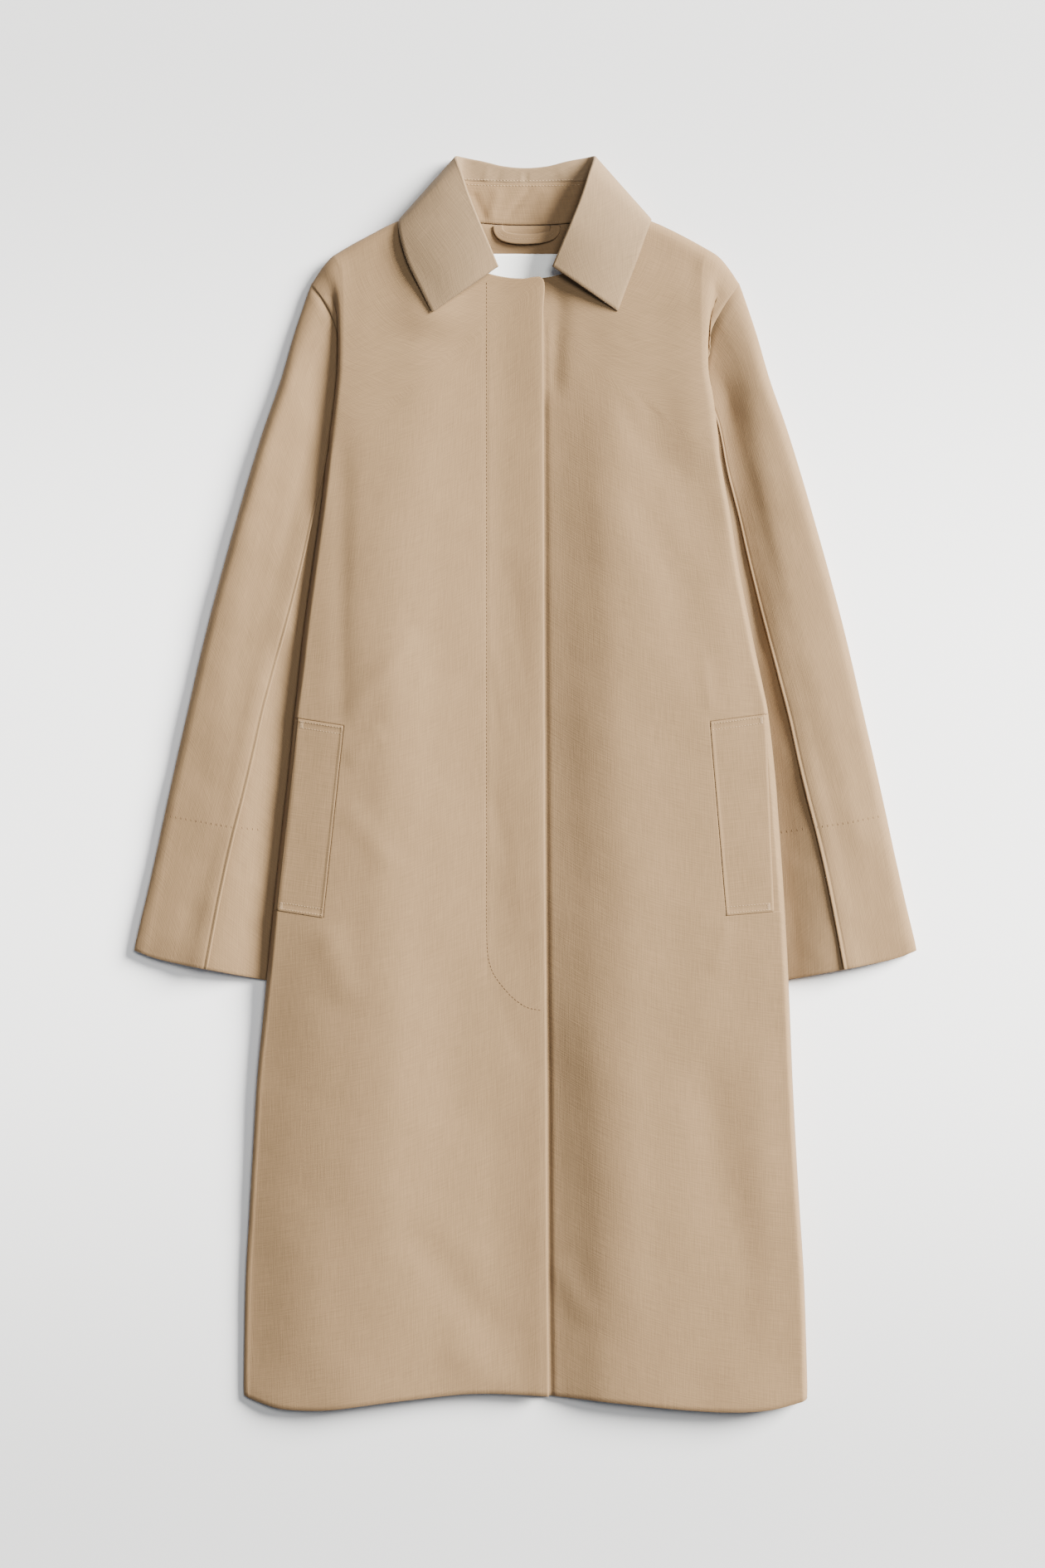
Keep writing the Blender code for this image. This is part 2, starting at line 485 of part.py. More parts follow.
def sleeve_grids(side):
    """The middle surfaces of the top sleeve and the under sleeve."""
    sign = -1 if side == "right" else 1
    tops, unders = [], []
    for t in np.linspace(0, 1, SLEEVE_ROWS):
        seam = lapped_seam_share(side, t)
        width = np.linalg.norm(sleeve_place(side, t, 1, 0) - sleeve_place(side, t, 0, 0))
        lower_shares = [share for share in ARMHOLE_SHARES if share > SLEEVE_FOLD + 0.05]

        def point(share, z, turn, t=t):
            out, y = sleeve_place(side, t, share, turn)
            return (sign * out, y, z)

        lapping = float(ease(t / LAP_STARTS))
        top = []
        for armhole_share in ARMHOLE_SHARES[6::-1]:
            part = (armhole_share - SLEEVE_FOLD) / (LAPPED_SEAM_SHARE - SLEEVE_FOLD)
            share = SLEEVE_FOLD + (seam - SLEEVE_FOLD) * part
            lift = SLEEVE_LAP_LIFT * lapping * float(ease(1 - (seam - share) * width / SLEEVE_LAP_RUN))
            top.append(point(share, sleeve_height(side, t, share) + lift, 0))
        high = top[-1][2]
        even = (high + REST) / 2
        widest = even + (SLEEVE_WIDEST_Z - even) * lapping
        for angle in np.radians([30, 60, 90]):
            share = SLEEVE_FOLD * (1 - np.sin(angle))
            top.append(point(share, widest + (high - widest) * np.cos(angle), 0))
        for angle in np.radians([60, 30, 0]):
            share = SLEEVE_FOLD * (1 - np.sin(angle))
            top.append(point(share, widest + (REST - widest) * np.cos(angle), 1))
        for share in lower_shares:
            if share <= BACK_SEAM:
                top.append(point(share, REST, 1))
        tops.append(top)

        fold = steady(t, UNDER_SLEEVE_FOLD) / width
        drop = (CLOTH + 2 * SEAM_GAP) * (1 - lapping)
        high = min(sleeve_height(side, t, 1 - fold), UNDER_SLEEVE_TOP)
        under = [point(BACK_SEAM + 2 * SEAM_GAP / width, REST, 1)]
        for share in lower_shares:
            if share > BACK_SEAM:
                under.append(point(min(share, 1 - fold), REST, 1))
        for angle in np.radians([-45, 0, 45]):
            z = (high + REST) / 2 + (high - REST) / 2 * np.sin(angle)
            under.append(point(1 - fold * (1 - np.cos(angle)), z, (1 - np.sin(angle)) / 2))
        for share in np.linspace(1 - fold, seam - SLEEVE_LAP / width, UNDER_SLEEVE_COLUMNS):
            z = sleeve_height(side, t, share) - drop * float(ease((1 - share) * width / UNDER_DROP_RUN))
            under.append(point(share, min(z, high + (1 - fold - share) * width * UNDER_SLEEVE_SLOPE), 0))
        unders.append(under)
    return np.array(tops), np.array(unders)


def collar_lines():
    """The collar's neck seam, stand seam, fold line and outer edge, from its right end to its left."""
    lines = []
    for which in range(4):
        halves = []
        for side, sign in (("right", -1), ("left", 1)):
            half = [list(station[which]) for station in COLLAR]
            for out_y_z in half[:STATIONS_ON_FRONT] if which == 0 else []:
                out_y_z[2] = float(front_height(side, out_y_z[0], out_y_z[1]))
            halves.append([(sign * out, y, z) for out, y, z in half])
        lines.append(through(halves[0] + halves[1][-2::-1], 2))
    return lines


def collar_grids():
    """The middle surfaces of the collar stand and of the collar."""
    stands, collars = [], []
    lines = collar_lines()
    for k, s, f, e, tangent in zip(*lines, np.gradient(lines[2], axis=0)):
        to_fold = (f - s) / np.linalg.norm(f - s)
        from_edge = (f - e) / np.linalg.norm(f - e)
        tangent = tangent / np.linalg.norm(tangent)
        out_of_fold = to_fold + from_edge - ((to_fold + from_edge) @ tangent) * tangent
        out_of_fold /= np.linalg.norm(out_of_fold)
        across = np.cross(out_of_fold, tangent)
        turned = [
            f - COLLAR_FOLD * (1 - np.cos(angle)) * out_of_fold + COLLAR_FOLD * np.sin(angle) * across
            for angle in np.radians([-90, -45, 0, 45, 90])
        ]
        along = (turned[0] - k) / np.linalg.norm(turned[0] - k)
        rise = (s - k) / np.linalg.norm(s - k)
        start = float(steady(k[2], ((4, 8), (SEAM_GAP, STAND_START))))
        stands.append([k + start * rise, (k + s) / 2, s - SEAM_RUN * along, s - COLLAR_GAP / 2 * along])
        bulge = np.array([0, 0, COLLAR_BULGE]) * steady(e[2], ((12, 18), (0, 1)))
        fall = [turned[-1] + (e - turned[-1]) * r + bulge * r * (1 - r) for r in (0.25, 0.5, 0.75, 1)]
        collars.append([s + COLLAR_GAP / 2 * along, s + SEAM_RUN * along, *turned, *fall])
    return np.array(stands), np.array(collars)


def sample(grid, row, column):
    """A place on a panel's surface, by its row and column."""
    r, c = min(int(row), len(grid) - 2), min(int(column), len(grid[0]) - 2)
    u, v = row - r, column - c
    return (
        grid[r][c] * (1 - u) * (1 - v) + grid[r + 1][c] * u * (1 - v)
        + grid[r][c + 1] * (1 - u) * v + grid[r + 1][c + 1] * u * v
    )


def locate(grid, x, y):
    """The row and column of a panel's upper layer at a place seen from above."""
    rows, columns = np.arange(ROLLED_ROWS, len(grid)), np.arange(WIDEST_COLUMN + 1)
    row, column = len(grid) / 2, WIDEST_COLUMN / 2
    for _ in range(12):
        ys = [sample(grid, r, column)[1] for r in rows]
        row = float(np.interp(-y, -np.array(ys), rows))
        outs = [abs(sample(grid, row, c)[0]) for c in columns]
        column = float(np.interp(abs(x), outs, columns))
    return row, column


def welt_grid(side, front):
    """A welt's middle surface: the front's own points inside its four corners, moved out."""
    sign = -1 if side == "right" else 1
    corners = [locate(front, sign * out, y) for out, y in WELT[side]]
    inner_top, outer_top, inner_bottom, outer_bottom = (np.array(corner) for corner in corners)
    lift = CLOTH / 2 + WELT_GAP + WELT_CLOTH / 2
    top, bottom = inner_top[0], inner_bottom[0]
    down = [(r - top) / (bottom - top) for r in np.arange(np.ceil(top), bottom)]
    grid = []
    for t in (0, *down, 1):
        line = []
        inner = inner_top * (1 - t) + inner_bottom * t
        outer = outer_top * (1 - t) + outer_bottom * t
        for s in np.linspace(0, 1, WELT_COLUMNS):
            row, column = inner * (1 - s) + outer * s
            along = sample(front, row + 0.5, column) - sample(front, row - 0.5, column)
            outwards = sample(front, row, column + 0.5) - sample(front, row, column - 0.5)
            normal = np.cross(along, outwards)
            normal *= np.sign(normal[2]) / np.linalg.norm(normal)
            line.append(sample(front, row, column) + normal * lift)
        grid.append(line)
    return np.array(grid)


def label_grid(rows=3, columns=7):
    """The label lies on the inside of the back."""
    half, height = LABEL_SIZE[0] / 2, LABEL_SIZE[1]
    grid = []
    for y in np.linspace(LABEL_TOP_Y, LABEL_TOP_Y - height, rows):
        x = np.linspace(-half, half, columns)
        z = np.full(columns, CLOTH + SEAM_GAP + LABEL_CLOTH / 2)
        grid.append(np.stack([x, np.full(columns, y), z], axis=1))
    return np.array(grid)


def loop_grid():
    """The hanger loop: a flat strip that bends down from the neck seam and up again."""
    line = through(LOOP_PATH, 2)
    along = np.gradient(line[:, :2], axis=0)
    along /= np.linalg.norm(along, axis=1)[:, None]
    across = np.stack([-along[:, 1], along[:, 0], np.zeros(len(line))], axis=1)
    return np.stack([line + across * LOOP_WIDTH * share for share in (-0.5, 0, 0.5)], axis=1)


def cloth_material(name, colour, roughness):
    made = bpy.data.materials.new(name)
    made.use_nodes = True
    shader = made.node_tree.nodes["Principled BSDF"]
    shader.inputs["Base Color"].default_value = colour
    shader.inputs["Roughness"].default_value = roughness
    shader.inputs["Metallic"].default_value = 0
    made.diffuse_color = colour
    return made


def wall(name, grid, thickness, material, collection):
    """Makes a piece of cloth from its middle surface, as an open surface with Solidify."""
    rows, columns = grid.shape[:2]
    mesh = bpy.data.meshes.new(name)
    faces = [
        (r * columns + c, r * columns + c + 1, (r + 1) * columns + c + 1, (r + 1) * columns + c)
        for r in range(rows - 1)
        for c in range(columns - 1)
    ]
    mesh.from_pydata((grid.reshape(-1, 3) * MM).tolist(), [], faces)
    mesh.shade_smooth()
    mesh.materials.append(material)
    piece = bpy.data.objects.new(name, mesh)
    collection.objects.link(piece)
    solid = piece.modifiers.new("Cloth", "SOLIDIFY")
    solid.thickness = thickness * MM
    solid.offset = 0
    solid.use_even_offset = False
    return piece


def build_coat():
    for old in list(bpy.data.objects):
        bpy.data.objects.remove(old)
    coat = bpy.data.collections.new("car_coat")
    bpy.context.scene.collection.children.link(coat)
    twill = cloth_material("twill", CLOTH_COLOUR, 0.8)
    satin = cloth_material("label_satin", LABEL_COLOUR, 0.45)
    for side in BODY_EDGE:
        front = front_grid(side)
        wall(f"front_{side}", front, CLOTH, twill, coat)
        top, under = sleeve_grids(side)
        wall(f"sleeve_top_{side}", top, CLOTH, twill, coat)
        wall(f"sleeve_under_{side}", under, CLOTH, twill, coat)
        wall(f"welt_{side}", welt_grid(side, front), WELT_CLOTH, twill, coat)
    wall("back", back_grid(), CLOTH, twill, coat)
    stand, collar = collar_grids()
    wall("collar_stand", stand, COLLAR_CLOTH, twill, coat)
    wall("collar", collar, COLLAR_CLOTH, twill, coat)
    wall("hanger_loop", loop_grid(), LOOP_CLOTH, twill, coat)
    wall("neck_label", label_grid(), LABEL_CLOTH, satin, coat)


build_coat()
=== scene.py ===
"""The looks of a light cotton car coat, laid flat on its back on a pale surface and seen from above.

Lengths are in millimetres until a mesh is made. "Out" is the distance from the coat's centre line towards
either side, and the sides are the wearer's: the right side lies at -X.
"""

import json
from collections import namedtuple

import bmesh
import bpy
import numpy as np
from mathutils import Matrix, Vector
from mathutils.bvhtree import BVHTree

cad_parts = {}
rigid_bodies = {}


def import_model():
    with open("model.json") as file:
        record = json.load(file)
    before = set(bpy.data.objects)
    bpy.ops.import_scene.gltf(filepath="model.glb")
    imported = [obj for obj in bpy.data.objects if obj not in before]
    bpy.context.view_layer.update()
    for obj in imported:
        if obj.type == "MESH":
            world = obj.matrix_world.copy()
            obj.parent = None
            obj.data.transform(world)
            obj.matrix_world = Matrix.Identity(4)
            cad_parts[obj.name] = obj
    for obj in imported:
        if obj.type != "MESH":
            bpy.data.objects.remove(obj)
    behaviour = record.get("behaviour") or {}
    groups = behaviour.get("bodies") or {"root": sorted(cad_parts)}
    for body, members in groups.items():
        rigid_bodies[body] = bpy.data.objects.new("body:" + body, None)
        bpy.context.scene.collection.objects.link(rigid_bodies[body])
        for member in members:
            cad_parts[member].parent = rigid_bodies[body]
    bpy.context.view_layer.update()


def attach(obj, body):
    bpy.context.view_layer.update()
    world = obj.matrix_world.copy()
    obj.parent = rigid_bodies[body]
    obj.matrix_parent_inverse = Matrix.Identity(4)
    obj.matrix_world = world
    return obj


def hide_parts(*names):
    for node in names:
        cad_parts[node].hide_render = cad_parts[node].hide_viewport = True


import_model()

# Back
# The back is one panel of tan cotton from the neckline to the hem. It lies face down on the surface, and its
# sides are sewn to the fronts, which are folded round to meet it. The folded collar below it lifts its top.

MM = 0.001
CLOTH = 1.5  # a coat panel with its facing
SEAM_GAP = 0.3
HEM_PRESS_RUN = 9.0  # a pressed edge thins over this length
REST = CLOTH / 2  # middle height of a panel that lies on the ground
UNDERARM_Y = 314.0
SHOULDER_POINT = (190.5, 446.0)
NECK_POINT = (66.0, 512.0)
SHOULDER_FOLD = 9.0
SIDE_TUCK = 48.0  # width of front folded under, from the fold to the side seam
BACK_HEM_SHORT = 5.0
HEM_FROM_Y = -300.0  # below this the rows bend towards the hem's own line
BACK_BOW = 0.86
SHOULDER_BOW = 0.5  # share of the armhole over which the rows lose the shoulder's bow
COLLAR_CLOTH = 1.8
LONGEST_TANGENT = 1.3  # in lengths of the shorter step beside a point
BACK_COLUMNS = 17
BACK_PARTS = 5  # fine steps between two coarse rows or columns
ARMHOLE_SHARES = (0.1, 0.2, 0.3, 0.4, 0.5, 0.6, 0.71, 0.86, 1.0)  # rows of the body along the armhole
BODY_ROWS = (292, 268, 240, 190, 130, 70, 15, -40, -95, -150, -205, -260, -320, -380, -440, -500, -548)
# The collar lifts the back beyond this line
LIFT_LINE = ((0, 44, 80, 103, 116, 140), (484, 486, 490, 490, 484, 460))
LIFT_RUN = 10.0
LIFT_HALF_WIDTH = (118.0, 142.0)

Outline = namedtuple("Outline", "y out")
BODY_EDGE = {
    "right": Outline(
        (470, 446, 424, 405, 381, 337, 300, 255, 181, 107, 55, -41, -115, -189, -263, -352, -440, -552),
        (173, 171, 168.5, 167.6, 167.6, 171, 175.8, 181, 191.3, 201, 206, 216.5, 224.6, 232, 239.4, 244.6,
         249.8, 252),
    ),
    "left": Outline(
        (470, 444, 418, 403, 376, 341, 285, 255, 181, 107, 55, -41, -115, -189, -263, -352, -440, -552),
        (170, 165, 162.5, 162, 161.8, 167, 174.3, 180, 192, 207, 217, 226, 231, 235, 238.3, 243, 248.6, 252),
    ),
}
FRONT_ARMHOLE = {
    "right": Outline(
        (446, 436, 424, 409, 398, 380, 350, 314),
        (190.5, 183, 175.8, 169.8, 166.5, 161.5, 156.5, 146),
    ),
    "left": Outline(
        (446, 436, 424, 403, 388, 376, 350, 314),
        (190.5, 183, 175.8, 165.4, 162.6, 161, 157, 146.5),
    ),
}
BACK_ARMHOLE = Outline((446, 415, 385, 350, 314), (190.5, 174, 163, 155.5, 145))
SHOULDER = Outline(
    (512, 508.5, 501.5, 491.5, 478, 469.5, 459, 446),
    (66, 90, 113, 135, 160, 173, 182, 190.5),
)
BACK_NECKLINE = Outline((498.5, 498.9, 500.5, 502, 502.7), (0, 20, 42, 56, 66))
SIDE_SEAM_IN = ((314, 285, 255, -560), (16, 34, SIDE_TUCK, SIDE_TUCK))
HEM = (
    (-252, -235, -190, -131, -72, -42, 17, 91, 150, 179, 209, 239, 252),
    (-546, -554, -558.6, -552, -545.5, -543.5, -546, -552.5, -558, -559.4, -558.5, -553, -548),
)


def steady(x, table):
    """Reads a table at x with a curve that never swings past its values."""
    xs, ys = (np.asarray(column, float) for column in table[:2])
    if xs[0] > xs[-1]:
        xs, ys = xs[::-1], ys[::-1]
    step = np.diff(xs)
    slope = np.diff(ys) / step
    tangent = np.concatenate([slope[:1], (slope[1:] + slope[:-1]) / 2, slope[-1:]])
    tangent[1:-1][slope[1:] * slope[:-1] <= 0] = 0
    for i, s in enumerate(slope):
        limit = 3 * abs(s)
        tangent[i] = np.clip(tangent[i], -limit, limit)
        tangent[i + 1] = np.clip(tangent[i + 1], -limit, limit)
    x = np.clip(np.asarray(x, float), xs[0], xs[-1])
    i = np.clip(np.searchsorted(xs, x) - 1, 0, len(step) - 1)
    t = (x - xs[i]) / step[i]
    return (
        ys[i] * (1 + 2 * t) * (1 - t) ** 2
        + tangent[i] * step[i] * t * (1 - t) ** 2
        + ys[i + 1] * t * t * (3 - 2 * t)
        - tangent[i + 1] * step[i] * t * t * (1 - t)
    )


def ease(x):
    """0 up to 0, 1 from 1 on, and smooth between."""
    x = np.clip(x, 0, 1)
    return x * x * (3 - 2 * x)


def spline(values, at):
    """A smooth line through points, read at places counted in points. It never swings past a short step."""
    p = np.asarray(values, float)
    p = np.concatenate([[2 * p[0] - p[1]], p, [2 * p[-1] - p[-2]]])
    step = np.linalg.norm(np.diff(p, axis=0), axis=-1, keepdims=True)
    tangent = (p[2:] - p[:-2]) / 2
    longest = LONGEST_TANGENT * np.minimum(step[1:], step[:-1])
    tangent *= np.minimum(1, longest / np.maximum(np.linalg.norm(tangent, axis=-1, keepdims=True), 1e-9))
    i = np.clip(np.asarray(at).astype(int), 0, len(p) - 4)
    t = (np.asarray(at) - i).reshape((-1,) + (1,) * (p.ndim - 1))
    a, b = p[i + 1], p[i + 2]
    bend = tangent[i] * t * (1 - t) ** 2 - tangent[i + 1] * t**2 * (1 - t)
    return a * (1 + 2 * t) * (1 - t) ** 2 + b * t**2 * (3 - 2 * t) + bend


def finer(count, parts):
    """Places for spline: each step between count points is cut into its number of parts."""
    parts = np.broadcast_to(parts, count - 1)
    return np.concatenate([i + np.arange(n) / n for i, n in enumerate(parts)] + [[count - 1]])


def smooth(points, parts=8):
    """The smooth line through a list of points, with this many steps between each two."""
    return spline(points, finer(len(points), parts))


def refine(grid, rows, columns):
    """A smooth surface through a coarse grid, read at the given rows and columns."""
    along = spline(grid, rows)
    return spline(along.transpose(1, 0, 2), columns).transpose(1, 0, 2)


def normals(grid):
    """Each grid point's unit normal."""
    n = np.cross(np.gradient(grid, axis=0), np.gradient(grid, axis=1))
    n /= np.maximum(np.linalg.norm(n, axis=2, keepdims=True), 1e-9)
    return n


def ripple(x, y, size, seed, directions=9, lean=(1.0, 1.0)):
    """A smooth random relief of about -1 to 1, with bumps of about this size."""
    random = np.random.default_rng(seed)
    total = np.zeros(np.broadcast(x, y).shape)
    for _ in range(directions):
        angle, phase = random.uniform(0, 2 * np.pi, 2)
        k = 2 * np.pi / (size * random.uniform(0.8, 2.0))
        total += np.sin(k * (x * np.cos(angle) / lean[0] + y * np.sin(angle) / lean[1]) + phase)
    return total / np.sqrt(directions)


def body_edge(side, y):
    return steady(y, BODY_EDGE[side]) - REST


def armhole_y(share):
    return SHOULDER_POINT[1] + (UNDERARM_Y - SHOULDER_POINT[1]) * share


def armhole_out(table, share):
    shares = (0, *ARMHOLE_SHARES)
    return np.interp(share, shares, [steady(armhole_y(s), table) for s in shares])


def ground(out, y):
    """How high the body's under layers are held by the collar, which is folded below them."""
    out = np.abs(out)
    fade = ease((LIFT_HALF_WIDTH[1] - out) / (LIFT_HALF_WIDTH[1] - LIFT_HALF_WIDTH[0]))
    return (COLLAR_CLOTH + 2 * SEAM_GAP) * fade * ease((y - steady(out, LIFT_LINE)) / LIFT_RUN + 1)


def near_hem(y):
    """1 at the hem, 0 above the rows that bend towards it, and smooth between."""
    return float(ease((HEM_FROM_Y - y) / (HEM_FROM_Y - BODY_ROWS[-1])))


def shoulder_turn(share):
    """From the shoulder's fold line to where its cloth lies flat, at a share of the way to the sleeve."""
    first = ARMHOLE_SHARES[0]
    end = np.array([armhole_out(FRONT_ARMHOLE["right"], first), armhole_y(first)]) - SHOULDER_POINT
    return np.array([0, -SHOULDER_FOLD]) * (1 - share**2) + end * share**2


def shoulder_line(out):
    """The y at which the cloth lies flat again beside the shoulder's fold."""
    end_out, end_y = armhole_out(FRONT_ARMHOLE["right"], ARMHOLE_SHARES[0]), armhole_y(ARMHOLE_SHARES[0])
    share = np.clip((out - NECK_POINT[0]) / (end_out - NECK_POINT[0]), 0, 1)
    turn = np.array([shoulder_turn(s) for s in np.atleast_1d(share)])
    line = steady(out - turn[:, 0], (SHOULDER.out, SHOULDER.y)) + turn[:, 1]
    return np.where(out < end_out - 0.1, line, end_y)


def back_grid():
    shares = np.linspace(-1, 1, BACK_COLUMNS)
    widest = armhole_out(BACK_ARMHOLE, ARMHOLE_SHARES[0])
    outs = np.abs(shares) * widest
    shoulder = shoulder_line(np.clip(outs, NECK_POINT[0], None)) - SEAM_GAP
    top = np.where(outs < NECK_POINT[0], steady(outs, (BACK_NECKLINE.out, BACK_NECKLINE.y)), shoulder)
    first = ARMHOLE_SHARES[0]
    grid = []
    for share in ARMHOLE_SHARES:
        x = shares * armhole_out(BACK_ARMHOLE, share)
        bow = float(ease(1 - (share - first) / SHOULDER_BOW)) * (BACK_BOW if share > first else 1)
        ys = armhole_y(share) + bow * (top - armhole_y(first))
        ys[[0, -1]] = armhole_y(share)
        grid.append(np.stack([x, ys, np.full(len(x), REST)], axis=1))
    for y in BODY_ROWS:
        reach = {side: body_edge(side, y) - steady(y, SIDE_SEAM_IN) - SEAM_GAP for side in BODY_EDGE}
        x = shares * np.where(shares < 0, reach["right"], reach["left"])
        ys = y + near_hem(y) * (steady(x, HEM) + BACK_HEM_SHORT - BODY_ROWS[-1])
        grid.append(np.stack([x, ys, np.full(len(x), REST)], axis=1))
    return np.array(grid)


def grain(grid):
    """Each grid point's place on the cut cloth, in metres: across the grain and along it."""
    across = np.linalg.norm(np.diff(grid, axis=1), axis=2)
    along = np.linalg.norm(np.diff(grid, axis=0), axis=2)
    u = np.concatenate([np.zeros((len(grid), 1)), np.cumsum(across, axis=1)], axis=1)
    v = np.concatenate([np.zeros((1, len(grid[0]))), np.cumsum(along, axis=0)])
    return np.stack([u, v], axis=2) * MM


def on_coat(name, mesh, material):
    """The piece with this mesh, which rides on the coat's one body."""
    mesh.shade_smooth()
    mesh.materials.append(material)
    piece = bpy.data.objects.new(name, mesh)
    bpy.context.scene.collection.objects.link(piece)
    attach(piece, "root")
    return piece


def cloth(node, grid, thickness, material, round_edge=0.5, pressed_hem=0.0):
    """A closed wall of cloth from its middle surface, with rounded edges, that stands for a node."""
    rows, columns = grid.shape[:2]
    thick = np.broadcast_to(np.asarray(thickness, float), (rows, columns))[..., None]
    along = grain(grid)[..., 1:] / MM
    thick = thick * (1 - pressed_hem * ease(1 - (along[-1:] - along) / HEM_PRESS_RUN))
    n = normals(grid)
    upper, lower = grid + n * thick / 2, grid - n * thick / 2
    ring = [(0, c) for c in range(columns)] + [(r, columns - 1) for r in range(1, rows)]
    ring += [(rows - 1, c) for c in range(columns - 2, -1, -1)] + [(r, 0) for r in range(rows - 2, 0, -1)]
    inner = np.clip(np.array(ring), 1, (rows - 2, columns - 2))
    edge = np.array([grid[r, c] for r, c in ring])
    away = edge - np.array([grid[r, c] for r, c in inner])
    away /= np.maximum(np.linalg.norm(away, axis=1, keepdims=True), 1e-9)
    edge_thick = np.array([thick[r, c] for r, c in ring])
    middle = edge + away * edge_thick * round_edge
    points = np.concatenate([upper.reshape(-1, 3), lower.reshape(-1, 3), middle])
    layer, last = rows * columns, len(ring)
    r, c = np.divmod(np.arange((rows - 1) * (columns - 1)), columns - 1)
    a = r * columns + c
    quads = np.stack([a, a + 1, a + columns + 1, a + columns], axis=1)
    faces = [quads, quads[:, ::-1] + layer]
    here = np.array([row * columns + column for row, column in ring])
    there, m = np.roll(here, -1), 2 * layer + np.arange(last)
    faces.append(np.stack([there, here, m, np.roll(m, -1)], axis=1))
    faces.append(np.stack([np.roll(m, -1), m, here + layer, there + layer], axis=1))
    faces = np.concatenate(faces)
    uv = grain(grid).reshape(-1, 2)
    uv = np.concatenate([uv, uv, uv[here]])
    mesh = bpy.data.meshes.new(f"coat_{node}")
    mesh.vertices.add(len(points))
    mesh.vertices.foreach_set("co", (points * MM).ravel())
    mesh.loops.add(faces.size)
    mesh.loops.foreach_set("vertex_index", faces.ravel())
    mesh.polygons.add(len(faces))
    mesh.polygons.foreach_set("loop_start", np.arange(len(faces)) * 4)
    mesh.update(calc_edges=True)
    layer = mesh.uv_layers.new(name="cloth_grain")
    layer.data.foreach_set("uv", uv[faces.ravel()].ravel())
    whole = bmesh.new()
    whole.from_mesh(mesh)
    bmesh.ops.recalc_face_normals(whole, faces=whole.faces)
    whole.to_mesh(mesh)
    whole.free()
    piece = on_coat(f"coat_{node}", mesh, material)
    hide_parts(node)
    return piece


TAN = (0.2015, 0.1232, 0.0574)
THREADS = 900  # changes of shade in a metre of cloth across its threads
THREAD_RUN = 45  # and along them
CLOUDS = (9, 5, 1)
THREAD_SHADE = 0.34
CLOUD_SHADE = 0.12


def woven(name, colour, weave=1.0, angle=0.0, roughness=0.82):
    """Fine twill: warp and weft threads that vary a little in shade and stand up a little."""
    made = bpy.data.materials.new(name)
    made.use_nodes = True
    nodes, links = made.node_tree.nodes, made.node_tree.links
    shader = nodes["Principled BSDF"]
    shader.inputs["Roughness"].default_value = roughness
    shader.inputs["Specular IOR Level"].default_value = 0.25
    shader.inputs["Sheen Weight"].default_value = 0.05
    shader.inputs["Sheen Roughness"].default_value = 0.5
    place = nodes.new("ShaderNodeUVMap")
    place.uv_map = "cloth_grain"
    turned = nodes.new("ShaderNodeMapping")
    turned.inputs["Rotation"].default_value = (0, 0, angle)
    links.new(place.outputs["UV"], turned.inputs["Vector"])

    def noise(scale, detail, rough=0.5):
        stretched = nodes.new("ShaderNodeMapping")
        stretched.inputs["Scale"].default_value = scale
        texture = nodes.new("ShaderNodeTexNoise")
        texture.inputs["Scale"].default_value = 1.0
        texture.inputs["Detail"].default_value = detail
        texture.inputs["Roughness"].default_value = rough
        links.new(turned.outputs["Vector"], stretched.inputs["Vector"])
        links.new(stretched.outputs["Vector"], texture.inputs["Vector"])
        return texture.outputs["Fac"]

    def mix(first, second, operation):
        node = nodes.new("ShaderNodeMath")
        node.operation = operation
        for socket, value in zip(node.inputs, (first, second)):
            if isinstance(value, (int, float)):
                socket.default_value = value
            else:
                links.new(value, socket)
        return node.outputs[0]

    warp = noise((THREADS, THREAD_RUN, 1), detail=3)
    weft = noise((THREAD_RUN, THREADS, 1), detail=3)
    threads = mix(mix(warp, weft, "ADD"), 1.0, "SUBTRACT")
    cloudy = mix(noise(CLOUDS, detail=4, rough=0.6), 0.5, "SUBTRACT")
    shade = mix(mix(threads, THREAD_SHADE * weave, "MULTIPLY"), mix(cloudy, CLOUD_SHADE, "MULTIPLY"), "ADD")
    shade = mix(shade, 1.0, "ADD")
    tint = nodes.new("ShaderNodeVectorMath")
    tint.operation = "SCALE"
    tint.inputs[0].default_value = colour[:3]
    links.new(shade, tint.inputs["Scale"])
    links.new(tint.outputs["Vector"], shader.inputs["Base Color"])
    bump = nodes.new("ShaderNodeBump")
    bump.inputs["Strength"].default_value = 0.35 * weave
    bump.inputs["Distance"].default_value = 0.0004
    links.new(threads, bump.inputs["Height"])
    links.new(bump.outputs["Normal"], shader.inputs["Normal"])
    return made


body_twill = woven("body_twill", TAN)
back_coarse = back_grid()
back = refine(back_coarse, finer(len(back_coarse), BACK_PARTS), finer(BACK_COLUMNS, BACK_PARTS))
back[..., 2] += ground(back[..., 0], back[..., 1])
back_piece = cloth("back", back, CLOTH, body_twill, pressed_hem=0.4)

# Fronts
# Each front is one panel of tan cotton that goes over the body and round its side to the back. The right
# front laps over the left one. Its edge is faced, and a fly below it hides the buttons.

